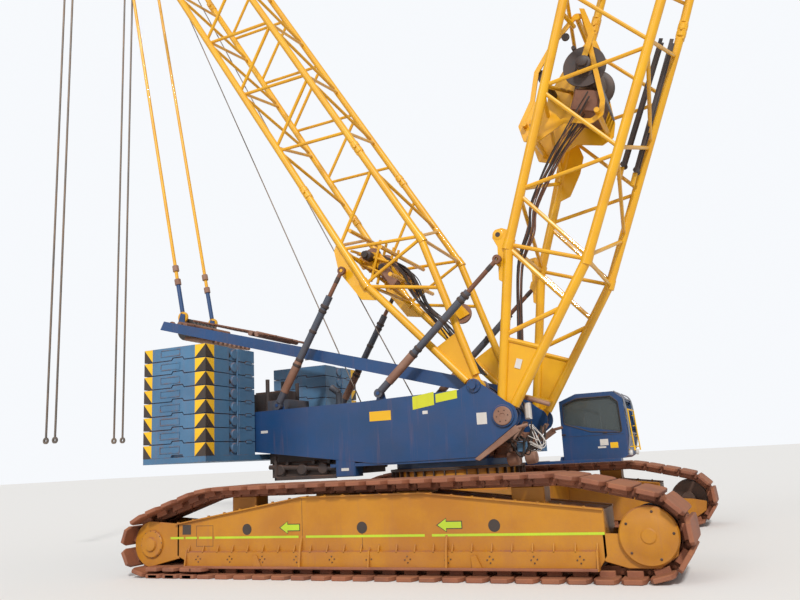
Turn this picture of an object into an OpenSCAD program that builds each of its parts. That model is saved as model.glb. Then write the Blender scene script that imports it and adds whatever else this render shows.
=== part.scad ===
// Crawler crane with a lattice boom and a lattice mast that leans back over the counterweight.
// Full size in millimetres. The origin lies on the ground under the slewing axis,
// +X is forward, +Y is the crane's left and +Z is up.

/* [Tracks] */
// Distance between the centre lines of the two tracks
gauge = 8400; // [8300:50:9000]
// Width of a track shoe
shoe_w = 1500; // [1300:50:1600]
// Number of shoes in a track
shoe_count = 62; // [50:1:70]
// Thickness of a shoe outside the line where the links bend
shoe_t = 100; // [60:5:120]
// Depth of the links inside that line
link_t = 110; // [80:5:130]
// Width of the links
link_w = 600; // [540:10:640]
// Height of the top of the track above the ground
track_top = 1640; // [1600:10:1645]
// Distance of the front wheel's centre ahead of the slewing axis
sprocket_x = 4640; // [4500:20:4800]
// Radius over the shoes at the front wheel
sprocket_r = 670; // [620:10:700]
// Distance of the rear wheel's centre behind the slewing axis
idler_x = 4750; // [4600:20:4900]
// Radius over the shoes at the rear wheel
idler_r = 600; // [560:10:640]
// Distance of the upper corners of the track from the slewing axis
corner_x = 3300; // [3000:20:3600]
// Radius over the shoes at the upper corners
corner_r = 900; // [700:20:1000]
// Radius of a lower roller
roller_r = 160; // [130:5:180]
// Number of lower rollers in a crawler
roller_count = 11; // [8:1:12]

/* [Crawler frames] */
// Width of the side frame's box
frame_w = 860; // [760:20:900]
// Thickness of the skirts that carry the roller axles
skirt_t = 45; // [30:5:60]
// Height of the frame's box above the ground
frame_floor = 580; // [560:10:620]
// Height of the frame's top at the middle
frame_top = 1390; // [1340:10:1395]
// Radius of the three round holes
frame_hole_r = 100; // [60:5:130]
// Radius of the drive cover
drive_cover_r = 430; // [380:10:460]
// How far the drive cover stands out of the frame
drive_cover_t = 170; // [120:10:220]

/* [Carbody] */
// Length of the carbody's middle box
carbody_l = 3300; // [2800:50:3600]
// Width of the carbody's middle box
carbody_w = 3400; // [3000:50:3800]
// Height of the carbody's top plate
carbody_top = 1480; // [1400:10:1500]
// Height of the carbody's underside
carbody_floor = 520; // [480:10:560]
// Width of a cross beam
beam_w = 900; // [700:20:1000]
// Distance of the cross beams from the slewing axis
beam_x = 1250; // [1100:10:1400]
// Outer radius of the slewing ring
slew_r = 1450; // [1300:10:1500]
// Height of the plane in which the superstructure turns
slew_z = 1760; // [1720:5:1790]

/* [Superstructure] */
// Distance between the outer faces of the two side plates
super_w = 3210; // [3190:10:3300]
// Thickness of a side plate
side_t = 40; // [30:5:50]
// Height of the lowest point of the side plates
side_floor = 1910; // [1880:10:1940]
// Height of the side plates' top edge at the rear
side_top = 3240; // [3200:10:3280]
// Distance of the side plates' rear end behind the slewing axis
tail_x = 6150; // [6000:50:6400]
// Width of the flanges on the side plates
flange_w = 260; // [160:10:280]
// Thickness of the flanges
flange_t = 35; // [25:5:45]

/* [Boom] */
// Boom foot pin ahead of the slewing axis
boom_x = 1640; // [1600:10:1680]
// Height of the boom foot pin
boom_z = 2740; // [2700:10:2800]
// Angle of the boom above the horizontal
boom_angle = 70.5; // [70:0.5:71]
// Length of the boom from the foot pin to the head shaft
boom_l = 36000; // [35000:100:36500]
// Distance between the centre planes of the boom's sides
boom_w = 2900; // [2880:10:2920]
// Radius of a boom chord
chord_r = 105; // [90:1:106]
// Radius of a boom lacing tube
lace_r = 46; // [36:1:55]
// Length of the tapered foot up to the knee
knee_s = 3550; // [3400:50:3700]
// Half depth of the boom at the knee
knee_d = 857; // [820:5:880]
// Half depth of the boom's parallel part
boom_d = 1070; // [1020:10:1120]
// Length of the foot section
foot_l = 10000; // [9800:50:10200]
// Distance between lacing nodes along the boom
boom_step = 1175; // [1150:5:1190]
// Radius of the boom foot pins
boom_pin_r = 95; // [80:5:110]

/* [Mast] */
// Mast foot pin ahead of the slewing axis
mast_x = 1050; // [1030:10:1080]
// Height of the mast foot pin
mast_z = 3410; // [3400:5:3430]
// Angle of the mast above the horizontal, leaning back
mast_angle = 59; // [58.5:0.5:59.5]
// Length of the mast from the foot pin to the head shaft
mast_l = 22700; // [22000:100:23200]
// Distance between the centre planes of the mast's sides
mast_w = 2660; // [2640:10:2680]
// Radius of a mast chord
mast_chord_r = 88; // [75:1:92]
// Radius of a mast lacing tube
mast_lace_r = 42; // [32:1:48]
// Half depth of the mast's parallel part
mast_d = 848; // [820:2:870]
// Radius of the mast foot pins
mast_pin_r = 70; // [60:5:80]

/* [Counterweight] */
// Number of plates in a stack
plate_count = 8; // [6:1:9]
// Height of one plate
plate_h = 304; // [280:2:310]
// Length of a plate
plate_l = 1700; // [1600:20:1800]
// Width of a plate
plate_w = 1820; // [1750:10:1850]
// Height of the counterweight's base plate above the ground
base_z = 2140; // [2100:10:2180]
// Thickness of the base plate
base_t = 125; // [100:5:150]

/* [Cab] */
// Length of the cab
cab_l = 1500; // [1450:10:1560]
// Width of the cab
cab_w = 1400; // [1300:10:1450]
// Height of the cab
cab_h = 1560; // [1500:10:1650]
// Thickness of the cab's walls
cab_t = 50; // [40:5:60]
// Rear wall of the cab ahead of the slewing axis
cab_x = 2080; // [2060:10:2120]
// Inner side wall of the cab from the middle plane
cab_y = 1760; // [1750:10:1800]
// Height of the cab's underside
cab_z = 1745; // [1740:5:1760]

/* [Clearances] */
// Clearance between pieces that fit together
fit = 0.3; // [0.3:0.1:0.8]
// Clearance beside a moving eye in its fork
side_gap = 10; // [6:1:12]

/* [Hidden] */

yellow = "gold";
ochre = "goldenrod";
blue = "royalblue";
pale_blue = "cornflowerblue";
rust = "sienna";
dark = "dimgray";
round_fn = 48;
lace_fn = 8;

// Cylinder between two points
module tube(a, b, r, fn = round_fn) {
    d = b - a;
    translate(a) rotate([0, acos(d[2] / norm(d)), atan2(d[1], d[0])])
        cylinder(h = norm(d), r = r, $fn = fn);
}

// Cylinder along Y, centred on y
module disc_y(x, y, z, r, w) {
    translate([x, y, z]) rotate([90, 0, 0]) cylinder(h = w, r = r, center = true, $fn = round_fn);
}

// Block given by its lowest corner and its highest corner
module block(lo, hi) {
    translate(lo) cube(hi - lo);
}

// Plate in the X-Z plane, centred on y
module plate_xz(points, y, w) {
    translate([0, y + w / 2, 0]) rotate([90, 0, 0]) linear_extrude(w) polygon(points);
}

function polar(r, a) = [r * cos(a), r * sin(a)];
function arc(c, r, from, to, steps) = [for (i = [0:steps]) c + polar(r, from + (to - from) * i / steps)];
function mix(a, b, t) = a + (b - a) * t;

// Track loop: four wheels in turn, rear, front, upper front and upper rear, as [x, z, radius]
loop_wheels = [
    [-idler_x, idler_r, idler_r - shoe_t],
    [sprocket_x, sprocket_r, sprocket_r - shoe_t],
    [corner_x, track_top - corner_r, corner_r - shoe_t],
    [-corner_x, track_top - corner_r, corner_r - shoe_t]];
function wheel(i) = loop_wheels[i % 4];
function centre(i) = [wheel(i)[0], wheel(i)[1]];
function span(i) = norm(centre(i + 1) - centre(i));
// Direction of the outward normal of the straight run that leaves wheel i
function run_normal(i) = let (d = centre(i + 1) - centre(i))
    atan2(d[1], d[0]) - acos((wheel(i)[2] - wheel(i + 1)[2]) / span(i));
function run_len(i) = sqrt(pow(span(i), 2) - pow(wheel(i)[2] - wheel(i + 1)[2], 2));
function turn(i) = (run_normal(i) - run_normal(i + 3) + 720) % 360;
function arc_len(i) = wheel(i)[2] * turn(i) * PI / 180;
loop_len = run_len(0) + run_len(1) + run_len(2) + run_len(3)
    + arc_len(0) + arc_len(1) + arc_len(2) + arc_len(3);
pitch = loop_len / shoe_count;
// Point and outward direction on the loop at distance t, starting where run 0 leaves wheel 0
function on_loop(t, i = 0) =
    t <= run_len(i) ? run_point(i, t)
    : t <= run_len(i) + arc_len(i + 1) || i == 3 ? arc_point(i + 1, t - run_len(i))
    : on_loop(t - run_len(i) - arc_len(i + 1), i + 1);
function run_point(i, t) = let (n = run_normal(i))
    [centre(i) + polar(wheel(i)[2], n) + polar(t, n + 90), n];
function arc_point(i, t) = let (n = run_normal(i + 3) + t / wheel(i)[2] * 180 / PI)
    [centre(i) + polar(wheel(i)[2], n), n];
// Joint between two shoes, and the points of a shoe as a stiff piece between its two joints
function joint_at(k) = on_loop((k % shoe_count) * pitch)[0];
function link_at(k, rise) = let (p = on_loop(k * pitch)) p[0] + polar(rise, p[1]);

// Plan of a shoe with its cut corners
shoe_half = 0.46 * pitch;
shoe_cut = [55, 110];
shoe_plan = [for (q = [[1, 1], [-1, 1], [-1, -1], [1, -1]], c = q[0] * q[1] > 0 ? [0, 1] : [1, 0])
    [q[0] * (shoe_half - c * shoe_cut[0]), q[1] * (shoe_w / 2 - (1 - c) * shoe_cut[1])]];
// The plate starts this far outside the joint line
shoe_sole = 0.25 * shoe_t;
module shoe(k, y) {
    a = joint_at(k);
    b = joint_at(k + 1);
    translate([(a[0] + b[0]) / 2, y, (a[1] + b[1]) / 2]) rotate([0, -atan2(b[1] - a[1], b[0] - a[0]), 0])
        translate([0, 0, -shoe_t]) linear_extrude(shoe_t - shoe_sole) polygon(shoe_plan);
}

// How far the links reach into the shoes
link_rise = 34;
module track(side) {
    y = side * gauge / 2;
    color(rust)
    union() {
        for (k = [0:shoe_count - 1]) shoe(k, y);
        difference() {
            plate_xz([for (k = [0:shoe_count - 1]) link_at(k, link_rise)], y, link_w);
            plate_xz([for (k = [0:shoe_count - 1]) link_at(k, -link_t)], y, link_w + 2);
        }
    }
}

// Running gear in the loop
roller_z = shoe_t + link_t + roller_r + fit;
roller_first = -3850;
roller_last = 3850;
roller_pin_r = 60;
roller_w = frame_w - 2 * skirt_t - 60;
wheel_w = 560;
hub_r = 150;
// Radius of an end wheel that just clears the flat links wrapped round it
function end_wheel_r(i) = sqrt(pow(loop_wheels[i][2] - link_t, 2) - pow(pitch / 2, 2)) - fit;

function roller_x(k) = mix(roller_first, roller_last, k / (roller_count - 1));

module running_gear(side) {
    y = side * gauge / 2;
    color(dark) {
        for (k = [0:roller_count - 1]) {
            disc_y(roller_x(k), y, roller_z, roller_r, roller_w);
            disc_y(roller_x(k), y, roller_z, roller_pin_r, frame_w - 2 * fit);
        }
        for (w = [0, 1]) {
            x = loop_wheels[w][0];
            z = loop_wheels[w][1];
            disc_y(x, y, z, end_wheel_r(w), wheel_w);
            disc_y(x, y, z, hub_r, frame_w - 2 * fit);
        }
    }
}

// Side frame of a crawler: box, forks at both ends, skirts with roller bores, ribs and drive cover
frame_profile = [[-4150, frame_floor], [4000, frame_floor], [4000, 1060], [1060, frame_top],
    [-1340, frame_top], [-4150, 960]];
fork_profile_rear = [[-4150, frame_floor - 250], [-4150, 960], [-4700, 800], [-4990, 700], [-4990, 430],
    [-4600, 330]];
fork_profile_front = [[4000, frame_floor - 250], [4400, 260], [4900, 420], [4950, 900], [4600, 1000],
    [4000, 1060]];
skirt_profile = [[-4150, 380], [-3700, 170], [3850, 170], [4000, 380], [4000, frame_floor],
    [-4150, frame_floor]];
hole_xs = [-2530, -140, 2250];
hole_z = 830;
rib_xs = [-3700, -1360, 0, 1420, 3700];
rib_t = 30;
rib_out = 150;

module crawler_frame(side) {
    y = side * gauge / 2;
    y_skirt = frame_w / 2 + skirt_t / 2;
    y_out = frame_w / 2 + skirt_t;
    color(ochre)
    difference() {
        union() {
            plate_xz(frame_profile, y, frame_w + 2 * skirt_t);
            for (s = [-1, 1]) {
                plate_xz(skirt_profile, y + s * y_skirt, skirt_t);
                plate_xz(fork_profile_rear, y + s * y_skirt, skirt_t);
                plate_xz(fork_profile_front, y + s * y_skirt, skirt_t);
            }
            for (x = rib_xs)
                translate([x - rib_t / 2, y, 0]) rotate([90, 0, 90])
                    linear_extrude(rib_t) polygon([[side * y_out, 170], [side * (y_out + rib_out), 170],
                        [side * (y_out + rib_out), 230], [side * y_out, 560]]);
            disc_y(sprocket_x, y + side * (y_out + drive_cover_t / 2), sprocket_r, drive_cover_r, drive_cover_t);
            disc_y(-idler_x, y + side * (y_out + 40), idler_r, hub_r + 60, 80);
        }
        for (k = [0:roller_count - 1])
            disc_y(roller_x(k), y, roller_z, roller_pin_r + fit, frame_w + 4 * skirt_t);
        for (w = [0, 1])
            disc_y(loop_wheels[w][0], y, loop_wheels[w][1], hub_r + fit, frame_w);
        for (x = hole_xs)
            disc_y(x, y + side * y_out, hole_z, frame_hole_r, 300);
    }
}

// Carbody with its cross beams and the lower ring of the slewing bearing
beam_z = [frame_floor + 40, 1290];
module carbody() {
    inner = gauge / 2 - frame_w / 2 - skirt_t - fit;
    color(ochre)
    union() {
        block([-carbody_l / 2, -carbody_w / 2, carbody_floor], [carbody_l / 2, carbody_w / 2, carbody_top]);
        for (s = [-1, 1], x = [-beam_x, beam_x])
            block([x - beam_w / 2, min(s * inner, s * carbody_w / 2 - s * 10), beam_z[0]],
                [x + beam_w / 2, max(s * inner, s * carbody_w / 2 - s * 10), beam_z[1]]);
        translate([0, 0, carbody_top - 10])
            cylinder(h = slew_z - carbody_top + 10 - fit, r = slew_r, $fn = 96);
    }
}

// Superstructure: two side plates with flanges, cross plates and the floor over the bearing
side_y = super_w / 2 - side_t / 2;
nose_r = 300;
lug_r = 165;
// Outline of a side plate: tail, underside, nose round the boom pin and lug round the mast pin
side_outline = concat(
    [[-tail_x, 2540], [-4460, 2320], [-1260, side_floor], [1010, side_floor + 30]],
    arc([boom_x, boom_z], nose_r, -38, 72, 12),
    arc([mast_x, mast_z - 20], lug_r, 20, 160, 10),
    [[700, 3350], [-1630, 3280], [-tail_x, side_top]]);

cross_xs = [-5600, -4200, -2450];
inner_fork_y = mast_w / 2 - mast_chord_r - side_gap - side_t / 2;
fork_in = inner_fork_y + side_t / 2 + side_gap;
fork_out = side_y - side_t / 2 - side_gap;

module side_flange(points, w) {
    for (i = [0:len(points) - 2]) {
        a = points[i];
        b = points[i + 1];
        plate_xz([a, b, b + [0, flange_t], a + [0, flange_t]], 0, w);
    }
}

module turntable() {
    color(blue)
    difference() {
        union() {
            for (s = [-1, 1]) {
                plate_xz(side_outline, s * side_y, side_t);
                translate([0, s * (super_w / 2 - flange_w / 2), 0]) {
                    side_flange([[-tail_x, side_top - flange_t], [-1630, 3280 - flange_t], [700, 3350 - flange_t]],
                        flange_w);
                    side_flange([[-tail_x, 2540], [-4460, 2320], [-1260, side_floor], [1010, side_floor + 30]],
                        flange_w);
                }
                // Inner plates of the boom and mast forks
                plate_xz(concat([[-300, side_floor], [1000, side_floor + 30]],
                    arc([boom_x, boom_z], nose_r - 40, -38, 72, 10),
                    arc([mast_x, mast_z - 20], lug_r - 30, 20, 160, 10), [[300, 3200], [-300, 2900]]),
                    s * inner_fork_y, side_t);
                disc_y(boom_x, s * (side_y + inner_fork_y) / 2, boom_z, boom_pin_r,
                    side_y - inner_fork_y + side_t);
                disc_y(mast_x, s * (side_y + a_beam_y) / 2, mast_z, mast_pin_r,
                    side_y - a_beam_y + side_t + a_beam_w);
            }
            for (x = cross_xs)
                block([x, -side_y, side_floor + 500], [x + side_t, side_y, side_top - 60]);
            block([-300, -side_y, side_floor], [-300 + side_t, side_y, 2900]);
            block([cross_xs[2], -side_y, side_floor - flange_t], [1000, side_y, side_floor + flange_t]);
            // Pins and brackets of the two pairs of stops
            for (s = [-1, 1], p = [concat(boom_stop_base, boom_stop_y), concat(mast_stop_base, stop_y)]) {
                disc_y(p[0], s * (p[2] - 20), p[1], stop_pin_r, 180);
                plate_xz([[p[0] - 180, side_top - 200], [p[0] + 180, side_top - 200], [p[0] + 70, p[1] + 60],
                    [p[0] - 70, p[1] + 60]], s * (p[2] - stop_r - 25), 30);
            }
            // Feet of the tail on the counterweight's base plate
            for (s = [-1, 1])
                block([stack_x + 150, s * side_y - 130, stack_z], [stack_x + plate_l - 150, s * side_y + 20, 2600]);
            translate([0, 0, slew_z]) cylinder(h = side_floor - slew_z, r = slew_r - 60, $fn = 96);
        }
    }
}

// Heavy block of the engine between the side plates
module engine() {
    color(dark) block([cross_xs[1] + side_t + fit, -1100, 1790], [cross_xs[2] - fit, 1100, 2850]);
}

// Counterweight: one base plate under the tail and two stacks beside it
stack_x = -6060;
stack_y = 1720;
stack_z = base_z + base_t;
groove = 18;
nub = [260, 60];

module counterweight_base() {
    color(pale_blue)
        block([stack_x, -stack_y - plate_w, base_z], [stack_x + plate_l, stack_y + plate_w, base_z + base_t - fit]);
}

module counterweight(side) {
    color(pale_blue)
    union() {
        for (k = [0:plate_count - 1])
            block([stack_x, min(side * stack_y, side * (stack_y + plate_w)), stack_z + k * plate_h],
                [stack_x + plate_l, max(side * stack_y, side * (stack_y + plate_w)),
                    stack_z + (k + 1) * plate_h - groove]);
        block([stack_x + 60, min(side * (stack_y + 60), side * (stack_y + plate_w - 60)), stack_z],
            [stack_x + plate_l - 60, max(side * (stack_y + 60), side * (stack_y + plate_w - 60)),
                stack_z + plate_count * plate_h - groove]);
    }
}

// Hydraulic machinery in front of the floor, between the side plates
module front_machinery() {
    color(rust)
    union() {
        block([1000 + fit, -1000, side_floor + fit], [1500, 1000, 2150]);
        for (y = [-850, -350, 350, 850]) tube([1250, y, 2100], [1250, y, 2450], 130);
        tube([1550, -900, 2050], [1550, 900, 2050], 110);
    }
}

// Cab: hollow shell with window openings and a door opening in its outer side
cab_side = [[0, 0], [1400, 0], [cab_l, 60], [1560, 560], [cab_l, 1380], [1290, cab_h], [410, cab_h], [0, 1400]];
cab_inside = [[cab_t, cab_t], [1395, cab_t], [1453, 85], [1509, 562], [1452, 1358], [1270, cab_h - cab_t],
    [420, cab_h - cab_t], [cab_t, 1366]];
cab_window = [[90, 850], [1410, 600], [1370, 1310], [1230, 1440], [440, 1440], [90, 1310]];
pane_t = 8;
pane_lap = 25;
// Windscreen and rear window: lowest and highest point of each opening
screen_z = [600, 1330];
rear_z = [850, 1240];
window_side = 90;
door_x = [720, 1380];
door_z = [120, 1400];
door_window = [[800, 720], [1300, 1320]];
rail_t = 40;
rail_lap = 6;

// Tilting hinge at the foot of the rear wall
knuckle_at = [-55, 50];
knuckle_r = 42;
knuckle_w = 70;
knuckle_pin_r = 22;
knuckle_ys = [140, cab_w - 140];

module cab_place() {
    translate([cab_x, cab_y, cab_z]) children();
}

module cab_shell() {
    color(blue)
    cab_place() difference() {
        plate_xz(cab_side, cab_w / 2, cab_w);
        plate_xz(cab_inside, cab_w / 2, cab_w - 2 * cab_t);
        // Window in the inner side
        plate_xz(cab_window, cab_t / 2, cab_t + 20);
        // Door opening in the outer side
        block([door_x[0], cab_w - cab_t - 10, door_z[0]], [door_x[1], cab_w + 10, door_z[1]]);
        // Windscreen and rear window
        block([1300, window_side, screen_z[0]], [cab_l + 200, cab_w - window_side, screen_z[1]]);
        block([-10, window_side + 110, rear_z[0]], [cab_t + 10, cab_w - window_side - 110, rear_z[1]]);
    }
    // Knuckles of the tilting hinge behind the rear wall
    color(blue) cab_place() difference() {
        for (y = knuckle_ys) {
            disc_y(knuckle_at[0], y, knuckle_at[1], knuckle_r, knuckle_w);
            block([knuckle_at[0], y - knuckle_w / 2, knuckle_at[1] - 30], [10, y + knuckle_w / 2, knuckle_at[1] + 30]);
        }
        disc_y(knuckle_at[0], cab_w / 2, knuckle_at[1], knuckle_pin_r + fit, cab_w);
    }
    // Rails that carry the sliding door
    color(dark) cab_place() for (z = [door_z[0] - rail_t + rail_lap - fit, door_z[1] - rail_lap + fit])
        translate([20, cab_w - 1, z]) cube([door_x[1] - 20, rail_t + 3, rail_t]);
}

// Point on the inner face of the front wall at height z
function screen_at(z) = z < 562 ? mix(1453, 1509, (z - 85) / (562 - 85)) : mix(1509, 1452, (z - 562) / (1358 - 562));

module cab_glass() {
    screen = [screen_z[0] - pane_lap, screen_z[1] + 10];
    color("lightsteelblue")
    cab_place() {
        plate_xz([for (p = cab_window) [mix(750, p[0], 1.03), mix(1050, p[1], 1.03)]], cab_t + fit + pane_t / 2,
            pane_t);
        plate_xz([for (z = screen) [screen_at(z) - fit, z], for (z = [screen[1], screen[0]]) [screen_at(z) - fit - pane_t, z]],
            cab_w / 2, cab_w - 2 * cab_t - 60);
        block([cab_t + fit, window_side + 85, rear_z[0] - pane_lap],
            [cab_t + fit + pane_t, cab_w - window_side - 85, rear_z[1] + pane_lap]);
    }
}

module cab_seat() {
    color(dark)
    cab_place() {
        block([450, cab_w / 2 - 250, cab_t + fit], [930, cab_w / 2 + 250, 470]);
        block([380, cab_w / 2 - 240, 470 + fit], [540, cab_w / 2 + 240, 1110]);
    }
}

module cab_door() {
    color(blue)
    cab_place() difference() {
        block([door_x[0] + 6, cab_w + 6, door_z[0] + 6], [door_x[1] - 6, cab_w + rail_t, door_z[1] - 6]);
        block([door_window[0][0], cab_w, door_window[0][1]], [door_window[1][0], cab_w + rail_t + 10, door_window[1][1]]);
    }
}

module cab_door_glass() {
    color("lightsteelblue")
    cab_place() block([door_window[0][0] + fit, cab_w + 12, door_window[0][1] + fit],
        [door_window[1][0] - fit, cab_w + 12 + pane_t, door_window[1][1] - fit]);
}

module cab_support() {
    color(blue)
    union() {
        block([900, super_w / 2 + fit, cab_z - 65], [cab_x + cab_l - 150, cab_y + 200, cab_z - fit]);
        block([900, super_w / 2 + fit, cab_z - 65], [1400, cab_y + cab_w, cab_z - fit]);
        block([900, super_w / 2 + fit, side_floor + 100], [1000, cab_y + 200, 2700]);
        block([900, super_w / 2 + fit, cab_z - 65], [1000, cab_y + 200, side_floor + 200]);
        // Beam under the rear wall with the lugs and pins of the tilting hinge
        block([cab_x - 150, super_w / 2 + fit, cab_z - 65], [cab_x + 120, cab_y + cab_w - 20, cab_z - fit]);
        cab_place() for (y = knuckle_ys) {
            disc_y(knuckle_at[0], y, knuckle_at[1], knuckle_pin_r, knuckle_w + 60);
            for (d = [-1, 1])
                plate_xz([[knuckle_at[0] - 60, -10], [knuckle_at[0] + 40, -10], [knuckle_at[0] + 35, knuckle_at[1] + 38],
                    [knuckle_at[0] - 35, knuckle_at[1] + 38]], y + d * (knuckle_w / 2 + side_gap / 2 + 12), 24);
        }
    }
}

// Winch drum with two flanges, along Y
module winch(x, z, r, w, flange_r) {
    color(dark)
    union() {
        disc_y(x, 0, z, r, w);
        for (s = [-1, 1]) disc_y(x, s * (w / 2 - 25), z, flange_r, 50);
        disc_y(x, 0, z, 90, 2 * (side_y - side_t / 2) - 2 * fit);
    }
}

winch_front_at = [-950, 2720];
winch_rear_at = [-1960, 2480];

module winch_front() winch(winch_front_at[0], winch_front_at[1], 330, 2000, 560);
module winch_rear() winch(winch_rear_at[0], winch_rear_at[1], 260, 2000, 430);

// A-frame: two box beams on the mast's pin, a cross tube and the sheave block at the tip
a_tip = [-7600, 5800];
a_beam_y = fork_in - side_gap - side_t - side_gap - 110;
a_beam_w = 200;
a_depth = 300;
a_pivot = [mast_x, mast_z];
a_len = norm(a_tip - a_pivot);
a_angle = atan2(a_tip[1] - a_pivot[1], a_tip[0] - a_pivot[0]);
pendant_y = 640;
pendant_s = 150;
pendant_n = 300;
pendant_w = 60;

module a_place() {
    translate([a_pivot[0], 0, a_pivot[1]]) rotate([0, -a_angle, 0]) children();
}

module a_frame() {
    color(blue)
    difference() {
        a_place() union() {
            for (s = [-1, 1]) {
                translate([0, s * a_beam_y, 0]) {
                    disc_y(0, 0, 0, 150, a_beam_w);
                    plate_xz([[0, -130], [900, -a_depth / 2], [a_len, -a_depth / 2 + 60],
                        [a_len + 60, a_depth / 2], [900, a_depth / 2], [0, 130]], 0, a_beam_w);
                }
                // Cheeks of the pendant's lug
                for (c = [-1, 1])
                    plate_xz([[a_len - 320, 0], [a_len - 220, -pendant_n - 90], [a_len - 80, -pendant_n - 90],
                        [a_len - 60, 0]], s * pendant_y + c * (pendant_w / 2 + fit + 15), 30);
            }
            for (x = [2200, 5200, a_len - pendant_s])
                tube([x, -a_beam_y, 0], [x, a_beam_y, 0], 90);
        }
        disc_y(a_pivot[0], 0, a_pivot[1], mast_pin_r + fit, 4000);
    }
}

// Lattice work
function boom_half(s) = s <= knee_s ? mix(80, knee_d, s / knee_s)
    : s <= foot_l ? mix(knee_d, boom_d, (s - knee_s) / (foot_l - knee_s))
    : s <= boom_head_s ? boom_d
    : mix(boom_d, boom_tip_d, (s - boom_head_s) / (boom_l - boom_head_s));
boom_head_s = 29000;
boom_tip_d = 420;
boom_mid_s = 19500;

mast_foot_l = 6500;
mast_head_s = 16000;
mast_knee_s = 3550;
mast_tip_d = 380;
function mast_half(s) = s <= mast_knee_s ? mix(70, mast_d, s / mast_knee_s)
    : s <= mast_head_s ? mast_d
    : mix(mast_d, mast_tip_d, (s - mast_head_s) / (mast_l - mast_head_s));

module boom_place() {
    translate([boom_x, 0, boom_z]) rotate([0, -boom_angle, 0]) children();
}
module mast_place() {
    translate([mast_x, 0, mast_z]) rotate([0, mast_angle - 180, 0]) children();
}

// Four chords between two stations
module chords(from, to, w, half, r) {
    for (y = [-w / 2, w / 2], z = [-1, 1])
        tube([from, y, z * half(from)], [to, y, z * half(to)], r);
}

// Collar round each chord where it bends
knee_gap = 60;
module knee_collars(s, w, half, r) {
    for (y = [-w / 2, w / 2], z = [-1, 1])
        tube([s - 2 * knee_gap, y, z * half(s)], [s + 2 * knee_gap, y, z * half(s)], r + 16);
}

// Zigzag lacing on the four faces between neighbouring nodes. The tubes end apart inside the chords
module lacing(first, step, count, w, half, r, apart) {
    for (k = [0:count - 1]) {
        a = first + k * step + apart;
        b = first + (k + 1) * step - apart;
        t = k % 2 == 0 ? -1 : 1;
        for (y = [-w / 2, w / 2]) tube([a, y, t * half(a)], [b, y, -t * half(b)], r, lace_fn);
        tube([a, t * w / 2, -half(a)], [b, -t * w / 2, -half(b)], r, lace_fn);
        tube([a, -t * w / 2, half(a)], [b, t * w / 2, half(b)], r, lace_fn);
    }
}

// Connecting lugs on one side of the joint at station s, towards inner station side d
module joint_lugs(s, d, w, half, r) {
    for (y = [-w / 2, w / 2], z = [-1, 1])
        translate([s + min(0, d * 2.2 * r), y - 0.8 * r, z * half(s) - 0.95 * r]) cube([2.2 * r, 1.6 * r, 1.9 * r]);
}

// Ring of four struts across the section at station s
module strut_ring(s, w, half, r) {
    for (z = [-1, 1]) tube([s, -w / 2, z * half(s)], [s, w / 2, z * half(s)], r, lace_fn);
    for (y = [-w / 2, w / 2]) tube([s, y, -half(s)], [s, y, half(s)], r, lace_fn);
}

apart = 70;
web_t = 30;
boom_half_f = function(s) boom_half(s);
mast_half_f = function(s) mast_half(s);

// One leg of a foot: eye, two chords up to the knee and the web plate between them
module foot_leg(y, w, half, knee, r, eye_r, web_s) {
    disc_y(0, y, 0, eye_r, w);
    for (z = [-1, 1])
        tube([1.4 * eye_r, y, z * half(1.4 * eye_r)], [knee - knee_gap, y, z * half(knee - knee_gap)], r);
    plate_xz([[0, -half(0) - 60], [web_s, -half(web_s)], [web_s, half(web_s)], [0, half(0) + 60]], y, web_t);
}

eye_y = (fork_in + fork_out) / 2;
eye_w = fork_out - fork_in;

module boom_foot() {
    color(yellow)
    difference() {
        boom_place() union() {
            for (s = [-1, 1]) {
                foot_leg(s * boom_w / 2, 180, boom_half_f, knee_s, chord_r, 190, 1560);
                tube([2570 - apart, s * boom_w / 2, -boom_half(2570)], [1640, s * boom_w / 2, boom_half(1640)],
                    lace_r + 8, lace_fn);
                tube([2570 + apart, s * boom_w / 2, -boom_half(2570)],
                    [knee_s - apart, s * boom_w / 2, boom_half(knee_s - apart)], lace_r + 8, lace_fn);
                tube([1560, s * boom_w / 2, -boom_half(1560)], [1560, s * boom_w / 2, boom_half(1560)],
                    lace_r + 8, lace_fn);
            }
            tube([480, -boom_w / 2, -boom_half(480)], [480, boom_w / 2, -boom_half(480)], lace_r + 10, lace_fn);
            chords(knee_s + knee_gap, foot_l - 2 * chord_r, boom_w, boom_half_f, chord_r);
            knee_collars(knee_s, boom_w, boom_half_f, chord_r);
            strut_ring(knee_s, boom_w, boom_half_f, lace_r);
            lacing(knee_s, boom_step, 5, boom_w, boom_half_f, lace_r, apart);
            joint_lugs(foot_l, -1, boom_w, boom_half_f, chord_r);
            // Lug of the boom stop on the rear chord
            for (s = [-1, 1])
                plate_xz([[stop_eye_s - 260, boom_half(stop_eye_s - 260)], [stop_eye_s + 260, boom_half(stop_eye_s + 260)],
                    [stop_eye_s + 80, boom_half(stop_eye_s) + stop_eye_n + 70],
                    [stop_eye_s - 80, boom_half(stop_eye_s) + stop_eye_n + 70]],
                    s * boom_w / 2, 30);
            for (s = [-1, 1])
                disc_y(stop_eye_s, s * (boom_w / 2 + stop_pin_end) / 2, boom_half(stop_eye_s) + stop_eye_n, stop_pin_r,
                    stop_pin_end - boom_w / 2);
        }
        disc_y(boom_x, 0, boom_z, boom_pin_r + fit, 4000);
    }
}

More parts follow.
